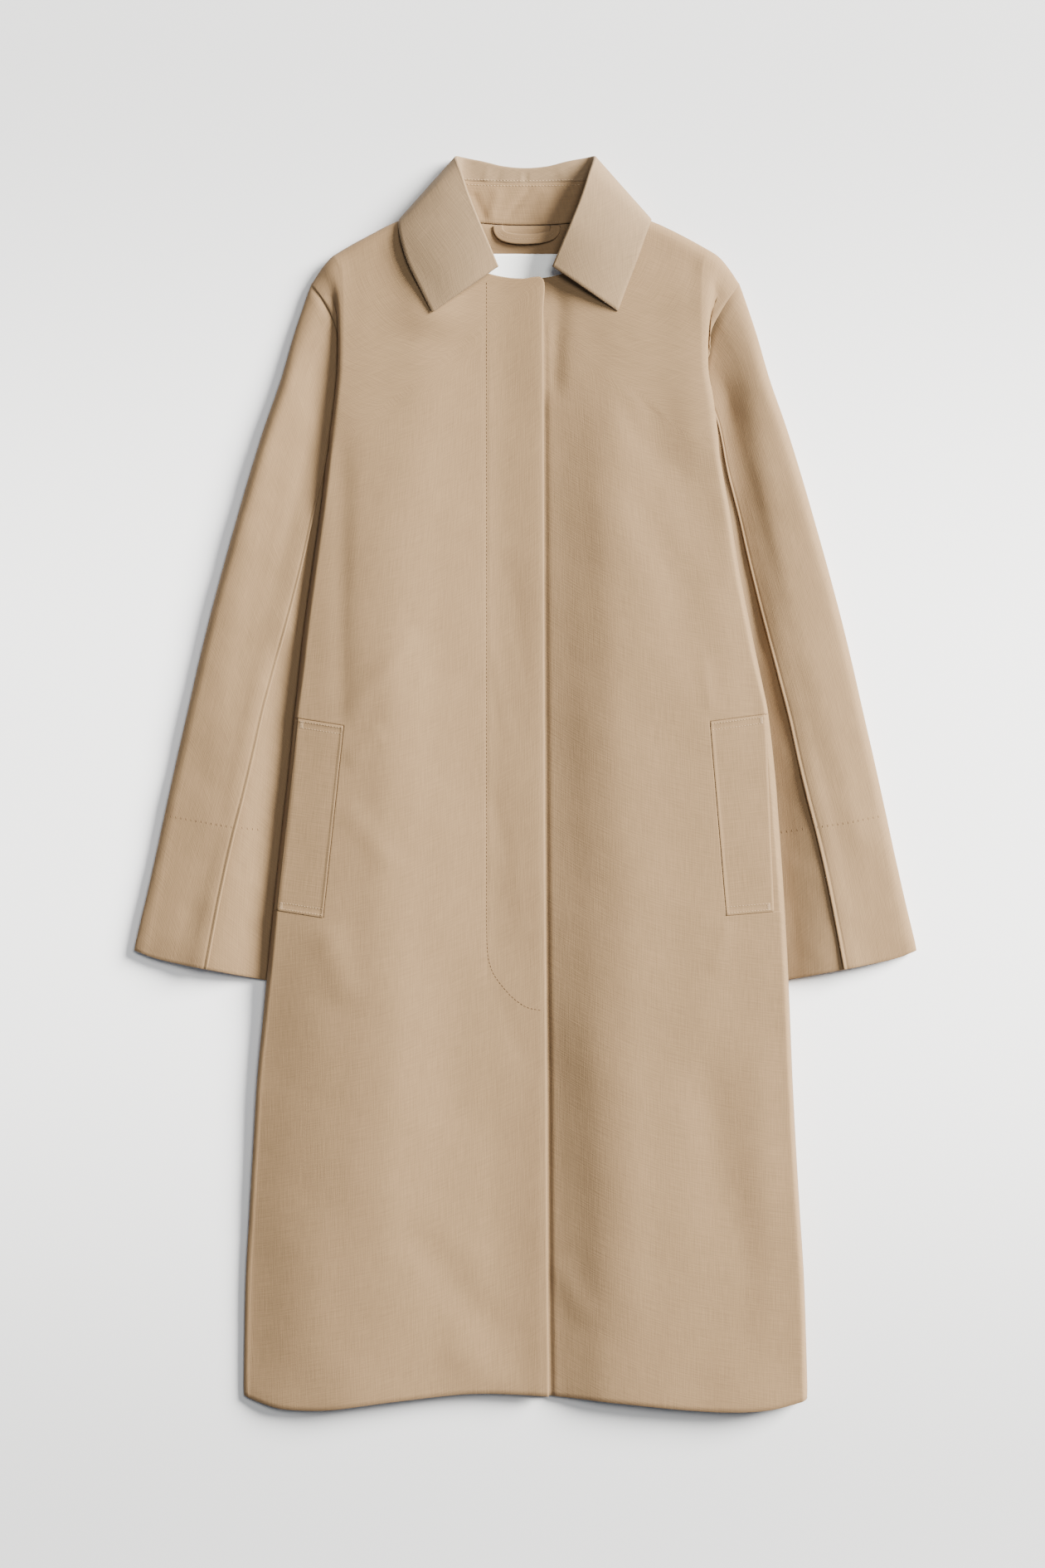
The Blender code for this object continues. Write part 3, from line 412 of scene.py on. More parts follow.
SIGN = {"right": -1, "left": 1}
FRONT_EDGE = -19.0
LAP_THINS = 0.5  # the lap is pressed flat along its edge
UNDERLAP_EDGE = -30.0
LAP_DROP = 3.2
LAP_RISE = 62.0
FOLD_RADIUS = 5.0
BEFORE_FOLD = 6.0  # the last place of the flat front that shapes the armhole's fold
EDGE_DROP = 2.6  # a side fold's widest line lies at least this much below its top
HEM_TUCK_RISE = 0.3
NECK_TO_Y = -60.0
NECK_ROW_Y = 344.0
NECK_CENTRE_Y = 449.5
FRONT_NECK = (
    (68.3, 503), (67, 492.5), (63, 481.5), (55.5, 470), (45, 460.5), (30.5, 454), (14, 451), (0, 450),
)
FRONT_COLUMNS = 12
SECTION_POINTS = 11
WIDEST_COLUMN = FRONT_COLUMNS + 3
TUCKED_POINTS = 5  # points of a section that lie below the coat
ROLL_ANGLES = np.radians([180, 150, 120, 90, 60, 30])  # of the shoulder's fold
FLY_WIDTH = 53.0
FLY_RISE = 2.7  # the fly's layers lift the lap's edge by this much

Loft = namedtuple("Loft", "y centre crest")
LOFT = Loft(
    (512, 450, 380, 250, 0, -300, -560),
    (14, 15, 14.5, 14, 14, 13, 11),
    (14, 16, 18.5, 22, 24, 23, 19),
)
CREST_SHAPE = {
    "right": ((-0.3, 0, 0.3, 0.6, 0.8, 1.0), (0, 0, 0.45, 1, 0.88, 0.5)),
    "left": (
        (-0.3, 0.05, 0.12, 0.2, 0.32, 0.5, 0.7, 0.9, 1.0),
        (0, 0, 0.2, 0.42, 0.7, 0.92, 1.0, 0.95, 0.8),
    ),
}
Fold = namedtuple("Fold", "x0 y0 x1 y1 half_width height")
FOLDS = (
    Fold(-128, 300, -118, -420, 34, 2.4),
    Fold(-280, -170, -288, -640, 86, -10.0),
    Fold(-100, -440, -20, -500, 26, 1.4),
    Fold(150, 240, 104, 330, 24, -1.8),
    Fold(84, 330, 88, -520, 36, 2.6),
    Fold(160, -240, 196, -520, 24, -1.4),
    Fold(150, 60, 100, 150, 22, 1.2),
    Fold(-150, 40, -96, 120, 22, 1.4),
    Fold(-268, -300, -266, -600, 30, -2.6),
)
Under = namedtuple("Under", "y edge_z first_in first_z second_in second_z")
UNDERSIDE = Under(
    (314, 285, 255, -165, -250, -560),
    (10.8, 10.6, 10.5, 10.5, 8.5, 8.0),
    (6, 13, 20, 20, 11, 10),
    (7.8, 7.0, 6.4, 6.4, 2.2, 2.0),
    (11, 23, 34, 34, 24, 22),
    (6.9, 5.2, 1.3, 1.3, REST, REST),
)
ARMHOLE_HEIGHT = ((446, 424, 405, 385, 350, 314), (11.4, 10.8, 8.8, 7.6, 6.8, 6.5))
ARMHOLE_FOLD_HEIGHT = ((446, 424, 405, 385, 350, 314), (13.4, 12.8, 12.2, 11.6, 11.0, 10.8))
SIDE_SEAM_HEIGHT = ((314, 285, 255, -560), (6.5, 2.5, REST, REST))

# The welts' corners, out and y: top inner, top outer, bottom inner and bottom outer
WELT = {
    "right": ((161.7, 51.8), (203.2, 58.4), (180.2, -119), (222.6, -112.5)),
    "left": ((164, 55.5), (213.6, 62), (178.8, -117), (221, -113.5)),
}
WELT_CLOTH = 0.8
WELT_GAP = 0.1
WELT_SINK = 1.45  # the front is pressed down by this much where the welt lies
WELT_COLUMN = {"right": 9.28, "left": 9.07}  # the front's column along the welt's inner edge
# Extra rows and columns of the front beside a welt's edge, in mm from it
BESIDE_EDGE = np.array((-3.4, -2.2, -1.4, -0.8, -0.4, -0.1, 0.12, 0.3, 0.5, 0.8, 1.3, 2.0, 3.2))
ROW_STEP, COLUMN_STEP = 55.0, 20.8
# Fine steps between two coarse lines: at the rolled shoulder, along the armhole, below it, over the front
# and round its side fold, and more of them beside the front edge
ROLL_PARTS, ARMHOLE_PARTS, BODY_PARTS, ACROSS_PARTS, SIDE_PARTS = 3, 5, 11, 5, 3
FRONT_EDGE_PARTS = {"right": [12, 6, 18, 6], "left": [6, 6, 24, 8]}
WELT_STEP = (0.12, 0.4)  # the step round a welt starts this far outside it, and is this wide
# Between these places along y the front's columns are drawn to the welt's inner edge, over these runs
DRAWN_FROM_Y, DRAWN_FROM_RUN = -220, 80
DRAWN_TO_Y, DRAWN_TO_RUN = 150, 70
DRAWN_COLUMNS, DRAWN_ROWS = 1.2, 0.6  # how far beside the welt's edge the lines are drawn to it
END_COLUMNS, END_RUN = 0.9, 0.7  # and how far inside it the rows begin to follow its ends
COLUMNS_NEAR_WELT = range(6, 12)


def below_welt(side, x, y):
    """1 where a front lies below its welt, 0 around it, and a step between."""
    sign = SIGN[side]
    inner_top, outer_top, inner_bottom, outer_bottom = (np.array(p) for p in WELT[side])
    out = sign * x
    total = np.ones(np.broadcast(x, y).shape)
    for a, b in ((outer_top, inner_top), (inner_top, inner_bottom), (inner_bottom, outer_bottom)):
        run = (b - a) / np.linalg.norm(b - a)
        outside = (out - a[0]) * run[1] - (y - a[1]) * run[0]
        total = total * (1 - ease((outside - WELT_STEP[0]) / WELT_STEP[1]))
    return total


def along_welt(side, coarse):
    """The front's fine rows and columns, some of which run along the edges of its welt."""
    sign = SIGN[side]
    inner_top, outer_top, inner_bottom, outer_bottom = (np.array(p) for p in WELT[side])
    column = WELT_COLUMN[side]
    ys = spline(coarse.transpose(1, 0, 2), [column])[0][:, 1]
    at_rows = [float(np.interp(-p[1], -ys, np.arange(len(ys)))) for p in (inner_top, inner_bottom)]
    row_parts = [ROLL_PARTS] * len(ROLL_ANGLES) + [ARMHOLE_PARTS] * len(ARMHOLE_SHARES)
    row_parts += [BODY_PARTS] * (len(BODY_ROWS) - 1)
    edge_parts = FRONT_EDGE_PARTS[side]
    column_parts = edge_parts + [ACROSS_PARTS] * (FRONT_COLUMNS - 1 - len(edge_parts))
    column_parts = column_parts + [SIDE_PARTS] * (SECTION_POINTS - 1)
    rows = [finer(len(coarse), row_parts)] + [at + np.array([0, *BESIDE_EDGE]) / ROW_STEP for at in at_rows]
    rows = np.unique(np.concatenate(rows))
    columns = [finer(len(coarse[0]), column_parts), column + BESIDE_EDGE / COLUMN_STEP]
    columns = np.unique(np.concatenate(columns))
    lean = (inner_bottom[0] - inner_top[0]) / (inner_bottom[1] - inner_top[1])
    grid = []
    for line in spline(coarse, rows):
        past = sign * line[:, 0] - inner_top[0] - (line[:, 1] - inner_top[1]) * lean
        there = float(np.interp(0, past[list(COLUMNS_NEAR_WELT)], COLUMNS_NEAR_WELT))
        y = line[round(column), 1]
        near = float(ease((y - DRAWN_FROM_Y) / DRAWN_FROM_RUN) * ease((DRAWN_TO_Y - y) / DRAWN_TO_RUN))
        shift = (there - column) * near * np.exp(-(((columns - column) / DRAWN_COLUMNS) ** 2))
        grid.append(spline(line, columns + shift))
    grid = np.array(grid)
    for at, a, b in zip(at_rows, (inner_top, inner_bottom), (outer_top, outer_bottom)):
        row = int(np.argmin(np.abs(rows - at)))
        out, y = sign * grid[row, :, 0], grid[row, :, 1]
        wanted = a[1] + (out - a[0]) * (b[1] - a[1]) / (b[0] - a[0])
        share = ease((columns - column + END_COLUMNS) / END_RUN) * ease((WIDEST_COLUMN - columns) / 2)
        grid[..., 1] += np.exp(-(((rows - at) / DRAWN_ROWS) ** 2))[:, None] * ((wanted - y) * share)[None]
    return grid


def crease_height(x, y, table):
    """The rise or fall that a table of folds adds at each place."""
    total = np.zeros(np.broadcast(x, y).shape)
    for f in table:
        along = np.array([f.x1 - f.x0, f.y1 - f.y0], float)
        length = np.hypot(*along)
        share = ((x - f.x0) * along[0] + (y - f.y0) * along[1]) / length**2
        off = ((x - f.x0) * along[1] - (y - f.y0) * along[0]) / length
        fade = ease((share + 0.15) / 0.3) * ease((1.15 - share) / 0.3)
        total = total + f.height * fade * np.exp(-((off / f.half_width) ** 2))
    return total


def front_height(side, out, y):
    sign = SIGN[side]
    edge = body_edge(side, y)
    centre, crest = steady(y, (LOFT.y, LOFT.centre)), steady(y, (LOFT.y, LOFT.crest))
    top = centre + (crest - centre) * steady(out / edge, CREST_SHAPE[side])
    top = top + crease_height(sign * out, y, FOLDS)
    if side == "left":
        top = top - LAP_DROP * (1 - ease((out + FRONT_EDGE) / LAP_RISE))
    inside = np.clip((edge - out) / FOLD_RADIUS, 0, 1)
    low = np.minimum(steady(y, (UNDERSIDE.y, UNDERSIDE.edge_z)), top - EDGE_DROP)
    rounded = low + (top - low) * np.sqrt(1 - (1 - inside) ** 2)
    return np.where(y > UNDERARM_Y, top, rounded)


def side_section(side, y):
    edge = body_edge(side, y)
    start = edge - FOLD_RADIUS
    top = float(front_height(side, start, y))
    low, *under = (float(steady(y, (UNDERSIDE.y, column))) for column in UNDERSIDE[1:])
    low = min(low, top - EDGE_DROP)
    turn = np.radians([22.5, 45, 67.5, 90])
    upper = [(start + FOLD_RADIUS * np.sin(a), low + (top - low) * np.cos(a)) for a in turn]
    seam = (edge - steady(y, SIDE_SEAM_IN), steady(y, SIDE_SEAM_HEIGHT))
    knots = [upper[-2], upper[-1], (edge - under[0], under[1]), (edge - under[2], under[3]), seam]
    lower = smooth(knots, 2)[3:]
    lower[:, 1] = np.maximum(lower[:, 1], REST)
    return np.array([(start, top), *upper, *lower])


def armhole_section(side, share):
    y = armhole_y(share)
    edge = body_edge(side, y)
    start = edge - FOLD_RADIUS
    top = float(front_height(side, start, y))
    before = start - BEFORE_FOLD
    low, seam_z = (float(steady(y, table)) for table in (ARMHOLE_FOLD_HEIGHT, ARMHOLE_HEIGHT))
    seam_out = armhole_out(FRONT_ARMHOLE[side], share)
    widest = edge + max(seam_out - edge, 0) / 2
    knots = [
        (before, float(front_height(side, before, y))), (start, top),
        (edge - 0.3 * FOLD_RADIUS + (widest - edge) / 2, top + 0.25 * (low - top)), (widest, low),
        (widest + 0.35 * (seam_out - widest), low + 0.45 * (seam_z - low)), (seam_out, seam_z),
    ]
    line = smooth(knots)[8:]
    run = np.concatenate([[0], np.cumsum(np.hypot(*np.diff(line, axis=0).T))])
    even = np.linspace(0, run[-1], SECTION_POINTS)
    return np.stack([np.interp(even, run, line[:, 0]), np.interp(even, run, line[:, 1])], axis=1)


def front_grid(side):
    sign = SIGN[side]
    front_edge = FRONT_EDGE if side == "right" else UNDERLAP_EDGE
    grid = []

    def add_row(outs, ys, section):
        inner = slice(FRONT_COLUMNS - 1)
        zs = [*front_height(side, outs[inner], ys[inner]), *section[:, 1]]
        grid.append(np.stack([sign * outs, ys, zs], axis=1))

    for share, (neck_out, neck_y) in zip(ARMHOLE_SHARES, (*FRONT_NECK, (front_edge, NECK_CENTRE_Y))):
        section = armhole_section(side, share)
        seam_y = armhole_y(share)
        outs = np.concatenate([np.linspace(neck_out, section[0, 0], FRONT_COLUMNS)[:-1], section[:, 0]])
        across = np.clip((outs - neck_out) / (section[-1, 0] - neck_out), 0, 1)
        bow = float(ease(1 - (share - ARMHOLE_SHARES[0]) / SHOULDER_BOW))
        straight = neck_y + (seam_y - neck_y) * across
        first = FRONT_NECK[0][1] + (armhole_y(ARMHOLE_SHARES[0]) - FRONT_NECK[0][1]) * across
        ys = straight + bow * (shoulder_line(np.clip(outs, NECK_POINT[0], section[-1, 0])) - first)
        ys[0], ys[-1] = neck_y, seam_y
        add_row(outs, ys, section)
    for y in BODY_ROWS:
        section = side_section(side, y)
        outs = np.concatenate([np.linspace(front_edge, section[0, 0], FRONT_COLUMNS)[:-1], section[:, 0]])
        edge = max(section[:, 0])
        inner_y = y + (NECK_CENTRE_Y - UNDERARM_Y) * float(ease((y - NECK_TO_Y) / (NECK_ROW_Y - NECK_TO_Y)))
        ys = inner_y + (y - inner_y) * np.clip((outs - front_edge) / (edge - front_edge), 0, 1)
        ys[WIDEST_COLUMN:] = y
        under = np.zeros(len(outs))
        under[-TUCKED_POINTS:] = edge - outs[-TUCKED_POINTS:]
        ys = ys + near_hem(y) * (steady(sign * outs, HEM) + under * HEM_TUCK_RISE - BODY_ROWS[-1])
        add_row(outs, ys, section)
    grid = np.array(grid)
    top = grid[0]
    outs = np.abs(top[:, 0])
    share = (outs - outs.min()) / (outs.max() - outs.min())
    turn = np.array([shoulder_turn(s) for s in share])
    low = REST + ground(outs, top[:, 1])
    first = ARMHOLE_SHARES[0]
    shift = armhole_out(BACK_ARMHOLE, first) - armhole_out(FRONT_ARMHOLE[side], first)
    rolled = []
    for angle in ROLL_ANGLES:
        back_share = 1 - np.sin(angle)
        fallen = (1 - np.cos(angle)) / 2
        below = shift * back_share if angle > np.pi / 2 else 0
        x = sign * (outs + turn[:, 0] * (back_share - 1) + below * share**2)
        y = top[:, 1] + turn[:, 1] * (back_share - 1)
        rolled.append(np.stack([x, y, top[:, 2] + (low - top[:, 2]) * fallen], axis=1))
    return np.concatenate([rolled, grid])


FLY_LINE_X = -34.4
RIPPLE, SMALL_RIPPLE = 0.35, 0.05  # height of the cloth's unevenness
UNDERSIDE_TO_Z = 4.0  # what lies lower faces down
UPPER_FROM_Z, UPPER_RUN = 5.0, 3.0  # the creases begin here
DRIFT_WIDTH = 60.0
LAP_SHADE_WIDTH = 3.0
LAP_SHADE_OUT = 1.6  # the dip's middle lies this far beyond the lap's edge
THIN_FROM_X, THIN_RUN = 12.0, 5.0  # the lap thins here, towards its edge
# The lap's edge runs askew, and the under front dips along it, both by their place along y
EDGE_DRIFT = ((450, 180, -40, -260, -410, -546), (-3.4, -2.6, -1.9, -0.4, 0.4, 1.8))
LAP_SHADE = ((450, 150, -300, -560), (0.7, 1.1, 1.8, 1.5))
# What the large folds leave out: the fly stitching's groove, pulls at the pockets' corners and soft drags
CREASES = {
    "right": (
        Fold(FLY_LINE_X, 446, FLY_LINE_X, -150, 1.5, -0.28),
        Fold(-163, 300, -164, 66, 9, -1.2),
        Fold(-157, 66, -100, 128, 9, 1.2),
        Fold(-157, 20, -128, 46, 8, 0.9),
        Fold(-160, -20, -118, -74, 11, 0.9),
        Fold(-176, -130, -158, -190, 14, 1.5),
        Fold(-154, -190, -190, -500, 26, 1.6),
        Fold(-104, -396, -24, -492, 18, -1.5),
        Fold(-90, 505, -84, 405, 28, 4.2),
        Fold(-70, -500, -10, -546, 16, 1.0),
        Fold(-12, 190, 2, 90, 8, -0.35),
        Fold(-28, 120, -14, 40, 6, 0.3),
        Fold(-30, -10, -14, -70, 7, -0.35),
        Fold(-8, -60, -2, -130, 6, 0.25),
        Fold(-22, -190, -6, -240, 8, -0.35),
    ),
    "left": (
        Fold(24, -230, 27, -600, 28, -2.6),
        Fold(30, 446, 25, 350, 9, -2.2),
        Fold(84, -260, 80, -470, 26, 1.0),
        Fold(172, 330, 224, 20, 9, 0.5),
        Fold(152, 446, 160, 290, 30, 4.0),
        Fold(170, 290, 182, 180, 10, 1.0),
        Fold(232, -20, 250, -540, 9, 0.6),
        Fold(26, -426, 56, -478, 12, 1.0),
        Fold(94, 262, 146, 160, 16, -0.9),
        Fold(158, 112, 164, 66, 6, 0.5),
        Fold(180, -126, 168, -165, 7, 0.6),
        Fold(158, -262, 206, -450, 20, -0.9),
    ),
}


def facing_up(n):
    """1 where a surface faces up, 0 where it stands upright or faces down, and smooth between."""
    return ease((n[..., 2] - 0.2) / 0.5)


def front_surface(side):
    """The front with its small creases: only the upper layer takes them."""
    grid = along_welt(side, front_grid(side))
    x, y, z = grid.transpose(2, 0, 1)
    n = normals(grid)
    n *= np.where(n[..., 2:] * (z[..., None] > UNDERSIDE_TO_Z) < 0, -1, 1)
    facing = facing_up(n) * ease((z - UPPER_FROM_Z) / UPPER_RUN)
    drift = steady(y, EDGE_DRIFT)
    rise = crease_height(x, y, CREASES[side]) + RIPPLE * ripple(x, y, size=70, seed=3, lean=(0.7, 1.6))
    rise = rise + SMALL_RIPPLE * ripple(x, y, size=26, seed=5)
    if side == "right":
        rise = rise + FLY_RISE * ease((x - FLY_LINE_X) / FLY_WIDTH)
        grid[..., 0] += drift * ease(1 - (-FRONT_EDGE - x) / DRIFT_WIDTH) * (y < NECK_CENTRE_Y + 2)
    else:
        from_lap = x + FRONT_EDGE - drift - LAP_SHADE_OUT
        rise = rise - steady(y, LAP_SHADE) * np.exp(-((from_lap / LAP_SHADE_WIDTH) ** 2))
    rise = rise - WELT_SINK * below_welt(side, x, y)
    return grid + n * (rise * facing)[..., None]


front_pieces = {}
for side in BODY_EDGE:
    front = front_surface(side)
    thickness = np.full(front.shape[:2], CLOTH)
    if side == "right":
        thickness = thickness - LAP_THINS * ease((front[..., 0] - THIN_FROM_X) / THIN_RUN)
    node = f"front_{side}"
    front_pieces[side] = cloth(node, front, thickness, body_twill, round_edge=0.3, pressed_hem=0.5)

# Pocket welts
# A welt is a folded strip of the same cotton, sewn to the front along its inner long edge and stitched down
# across both ends. Its free edge, the pocket's opening, lies along the side fold.

WELT_ROWS, WELT_COLUMNS = 60, 24
WELT_IN = 2.4  # a welt stays this far inside the body's edge


def skin_of(piece):
    """The tree that finds places on a piece's surface."""
    corners = [vertex.co[:] for vertex in piece.data.vertices]
    return BVHTree.FromPolygons(corners, [face.vertices[:] for face in piece.data.polygons])


def lay_on(tree, x, y, lift, above=80.0):
    """A place on a surface seen from above, moved out by lift, and the surface's normal there."""
    hit, normal, _, _ = tree.ray_cast(Vector((x, y, above)) * MM, Vector((0, 0, -1)))
    if hit is None:
        return None, None
    if normal.z < 0:
        normal = -normal
    return np.array(hit) / MM + np.array(normal) * lift, np.array(normal)


def welt_surface(side):
    sign = SIGN[side]
    tree = skin_of(front_pieces[side])
    inner_top, outer_top, inner_bottom, outer_bottom = (np.array(p) for p in WELT[side])
    grid = []
    for t in np.linspace(0, 1, WELT_ROWS):
        inner = inner_top * (1 - t) + inner_bottom * t
        outer = outer_top * (1 - t) + outer_bottom * t
        line = []
        for s in np.linspace(0, 1, WELT_COLUMNS):
            out, y = inner * (1 - s) + outer * s
            limit = body_edge(side, y) - WELT_IN
            line.append(lay_on(tree, sign * min(out, limit), y, WELT_GAP + WELT_CLOTH / 2)[0])
        grid.append(line)
    return np.array(grid)


for side in BODY_EDGE:
    welt = cloth(f"welt_{side}", welt_surface(side), WELT_CLOTH, body_twill, round_edge=0.2)

# Sleeves
# Each sleeve is a tube of two panels. The top sleeve goes over the outer edge to a seam below, and its front
# edge is lapped over the under sleeve and stands up a little. The cuff is turned in and caught by stitches.

SLEEVE_FOLD = 0.1
SLEEVE_TUCK = 17.0
SLEEVE_LAP = 6.0
SLEEVE_LAP_LIFT = {"right": 2.4, "left": 2.6}
SLEEVE_LAP_RUN = 26.0
SLEEVE_WIDEST_Z = {"right": 6.4, "left": 6.4}
UNDER_SLEEVE_TOP = 3.9
UNDER_SLEEVE_SLOPE = 0.6
UNDER_DROP_RUN = 20.0
UNDER_SLEEVE_FOLD = ((0, 0.3), (5.6, 2.0))
ARMHOLE_GAP = 0.4
SEAM_TUCK = 1.8
ARMHOLE_BOW = 0.22
ARMHOLE_HEIGHT_RUN = 0.16
LAP_STARTS = 0.1
CUFF_HANG = 0.3
LAPPED_SEAM_SHARE = 0.71
SEAM_SHARES = np.linspace(0.3, 0.98, 60)  # where the lapped seam is looked for across the sleeve
BACK_SEAM = 0.5
SLEEVE_ROWS = 15
UNDER_SLEEVE_COLUMNS = 7
HANGS_OVER = ((420, 390), (0, 1))
SLEEVE_EDGE = Outline(
    (446, 403, 359, 314.5, 226, 137, 48, -41, -148),
    (190.5, 205.7, 219, 234.6, 261, 285, 305.6, 326, 350),
)
SLEEVE_SEAM = Outline(
    (352, 337, 300, 255, 181, 122, 63, 4, -41, -92, -164),
    (160, 168, 175, 186, 203, 218.5, 234, 247, 258.5, 270, 284),
)
CUFF = ((214, 243.5, 279.5, 315, 332.6, 350), (-178, -173, -166, -159, -154.7, -148))
OUTSIDE_BODY = (-17, -8, 0, 8, 20, 40, 60, 85, 115)
SLEEVE_SHAPE = {
    "right": (OUTSIDE_BODY, (3.6, 4.2, 4.8, 5.8, 8.6, 13.8, 15.4, 13.2, 9.8)),
    "left": (OUTSIDE_BODY, (3.6, 4.4, 5.4, 7.4, 11.4, 15.8, 16.3, 14.8, 12.6)),
}
FLATTER = 0.08  # the sleeve lies lower by this share below here
FLATTER_FROM_Y, FLATTER_RUN = -60, 110


def sleeve_place(side, t, share, turn):
    outer_y = SHOULDER_POINT[1] + (CUFF[1][-1] - SHOULDER_POINT[1]) * t
    inner_y = UNDERARM_Y + (CUFF[1][0] - UNDERARM_Y) * t
    outer = np.array([steady(outer_y, SLEEVE_EDGE) - REST, outer_y])
    inner = np.array([body_edge(side, inner_y) - SLEEVE_TUCK, inner_y])
    p = outer + (inner - outer) * share
    bow = max(1 - t / ARMHOLE_BOW, 0) ** 2
    if bow:
        seam_outs = [armhole_out(table, share) for table in (FRONT_ARMHOLE[side], BACK_ARMHOLE)]
        gap = ARMHOLE_GAP * (1 + float(ease((share - ARMHOLE_SHARES[-2]) / (1 - ARMHOLE_SHARES[-2]))))
        seam = np.array([seam_outs[0] * (1 - turn) + seam_outs[1] * turn + gap, armhole_y(share)])
        start = np.array([steady(SHOULDER_POINT[1], SLEEVE_EDGE) - REST, SHOULDER_POINT[1]])
        end = np.array([body_edge(side, UNDERARM_Y) - SLEEVE_TUCK, UNDERARM_Y])
        p = p + bow * (seam - (start + (end - start) * share))
    hang = float(ease((t - 1) / CUFF_HANG + 1))
    p[1] += hang * (steady(p[0], CUFF) - (CUFF[1][-1] + (CUFF[1][0] - CUFF[1][-1]) * share))
    return p


def sleeve_height(side, t, share):
    out, y = sleeve_place(side, t, share, 0)
    outside = out - body_edge(side, min(y, 440))
    flatter = 1 - FLATTER * ease((FLATTER_FROM_Y - y) / FLATTER_RUN)
    lying = float(REST + (steady(outside, SLEEVE_SHAPE[side]) - REST) * flatter)
    y = armhole_y(share)
    at_seam = steady(y, ARMHOLE_HEIGHT) - SEAM_TUCK * steady(y, HANGS_OVER)
    return float(lying + (at_seam - lying) * ease(1 - t / ARMHOLE_HEIGHT_RUN))


def lapped_seam_share(side, t):
    if t == 0:
        return LAPPED_SEAM_SHARE
    points = [sleeve_place(side, t, share, 0) for share in SEAM_SHARES]
    past = [p[0] - steady(p[1], SLEEVE_SEAM) for p in points]
    return float(np.interp(0, past[::-1], SEAM_SHARES[::-1]))


def sleeve_grids(side):
    sign = SIGN[side]
    tops, unders = [], []
    for t in np.linspace(0, 1, SLEEVE_ROWS):
        seam = lapped_seam_share(side, t)
        width = np.linalg.norm(sleeve_place(side, t, 1, 0) - sleeve_place(side, t, 0, 0))
        lower_shares = [share for share in ARMHOLE_SHARES if share > SLEEVE_FOLD + 0.05]

        def point(share, z, turn, t=t):
            out, y = sleeve_place(side, t, share, turn)
            return (sign * out, y, z)

        lapping = float(ease(t / LAP_STARTS))
        top = []
        for armhole_share in ARMHOLE_SHARES[6::-1]:
            part = (armhole_share - SLEEVE_FOLD) / (LAPPED_SEAM_SHARE - SLEEVE_FOLD)
            share = SLEEVE_FOLD + (seam - SLEEVE_FOLD) * part
            lift = SLEEVE_LAP_LIFT[side] * lapping * float(ease(1 - (seam - share) * width / SLEEVE_LAP_RUN))
            top.append(point(share, sleeve_height(side, t, share) + lift, 0))
        high = top[-1][2]
        even = (high + REST) / 2
        widest = even + (SLEEVE_WIDEST_Z[side] - even) * lapping
        for angle in np.radians([30, 60, 90]):
            share = SLEEVE_FOLD * (1 - np.sin(angle))
            top.append(point(share, widest + (high - widest) * np.cos(angle), 0))
        for angle in np.radians([60, 30, 0]):
            share = SLEEVE_FOLD * (1 - np.sin(angle))
            top.append(point(share, widest + (REST - widest) * np.cos(angle), 1))
        for share in lower_shares:
            if share <= BACK_SEAM:
                top.append(point(share, REST, 1))
        tops.append(top)

        fold = steady(t, UNDER_SLEEVE_FOLD) / width
        drop = (CLOTH + 2 * SEAM_GAP) * (1 - lapping)
        high = min(sleeve_height(side, t, 1 - fold), UNDER_SLEEVE_TOP)
        under = [point(BACK_SEAM + 2 * SEAM_GAP / width, REST, 1)]
        for share in lower_shares:
            if share > BACK_SEAM:
                under.append(point(min(share, 1 - fold), REST, 1))
        for angle in np.radians([-45, 0, 45]):
            z = (high + REST) / 2 + (high - REST) / 2 * np.sin(angle)
            under.append(point(1 - fold * (1 - np.cos(angle)), z, (1 - np.sin(angle)) / 2))
        for share in np.linspace(1 - fold, seam - SLEEVE_LAP / width, UNDER_SLEEVE_COLUMNS):
            z = sleeve_height(side, t, share) - drop * float(ease((1 - share) * width / UNDER_DROP_RUN))
            under.append(point(share, min(z, high + (1 - fold - share) * width * UNDER_SLEEVE_SLOPE), 0))
        unders.append(under)
    return np.array(tops), np.array(unders)


LIP_RIDGE = 0.35  # the seam allowance makes a narrow ridge along the lapped edge
LIP_WIDTH = 1.7
LIP_GROOVE = 0.4
LIP_GROOVE_IN = 2.8  # from the lapped edge
LIP_GROOVE_WIDTH = 1.1
SEWN_UNDER = 1.4  # the sleeve's head runs in below the armhole's edge by this much
SEWN_DOWN = 1.5
SEWN_ROWS = (1.0, 0.75, 0.35, 0.1)  # share of that in each row from the armhole
SEWN_FROM_Z, SEWN_RUN = 3.0, 2.0  # and what lies lower stays
SLEEVE_SMALL_RIPPLE = 0.06
CREASES_RUN = 4.0
HEAD_PARTS = 20  # fine steps in the row beside the armhole
SLEEVE_PARTS = 14
# Across the top sleeve: at the lapped edge, over the top, round the outer fold and below
TOP_COLUMN_PARTS = [14] + [6] * 5 + [5] * 6 + [4] * 4
UNDER_COLUMN_PARTS = 5
SLEEVE_CREASES = {
    "right": (
        Fold(-210, 330, -262, 60, 14, -1.6),
        Fold(-262, -20, -300, -130, 12, -1.2),
        Fold(-192, 240, -216, 125, 13, 3.0),
    ),
    "left": (
        Fold(178, 350, 214, 130, 17, -3.4),
        Fold(250, 120, 300, -60, 14, 1.2),
        Fold(178, 250, 204, 110, 13, -2.0),
    ),
}


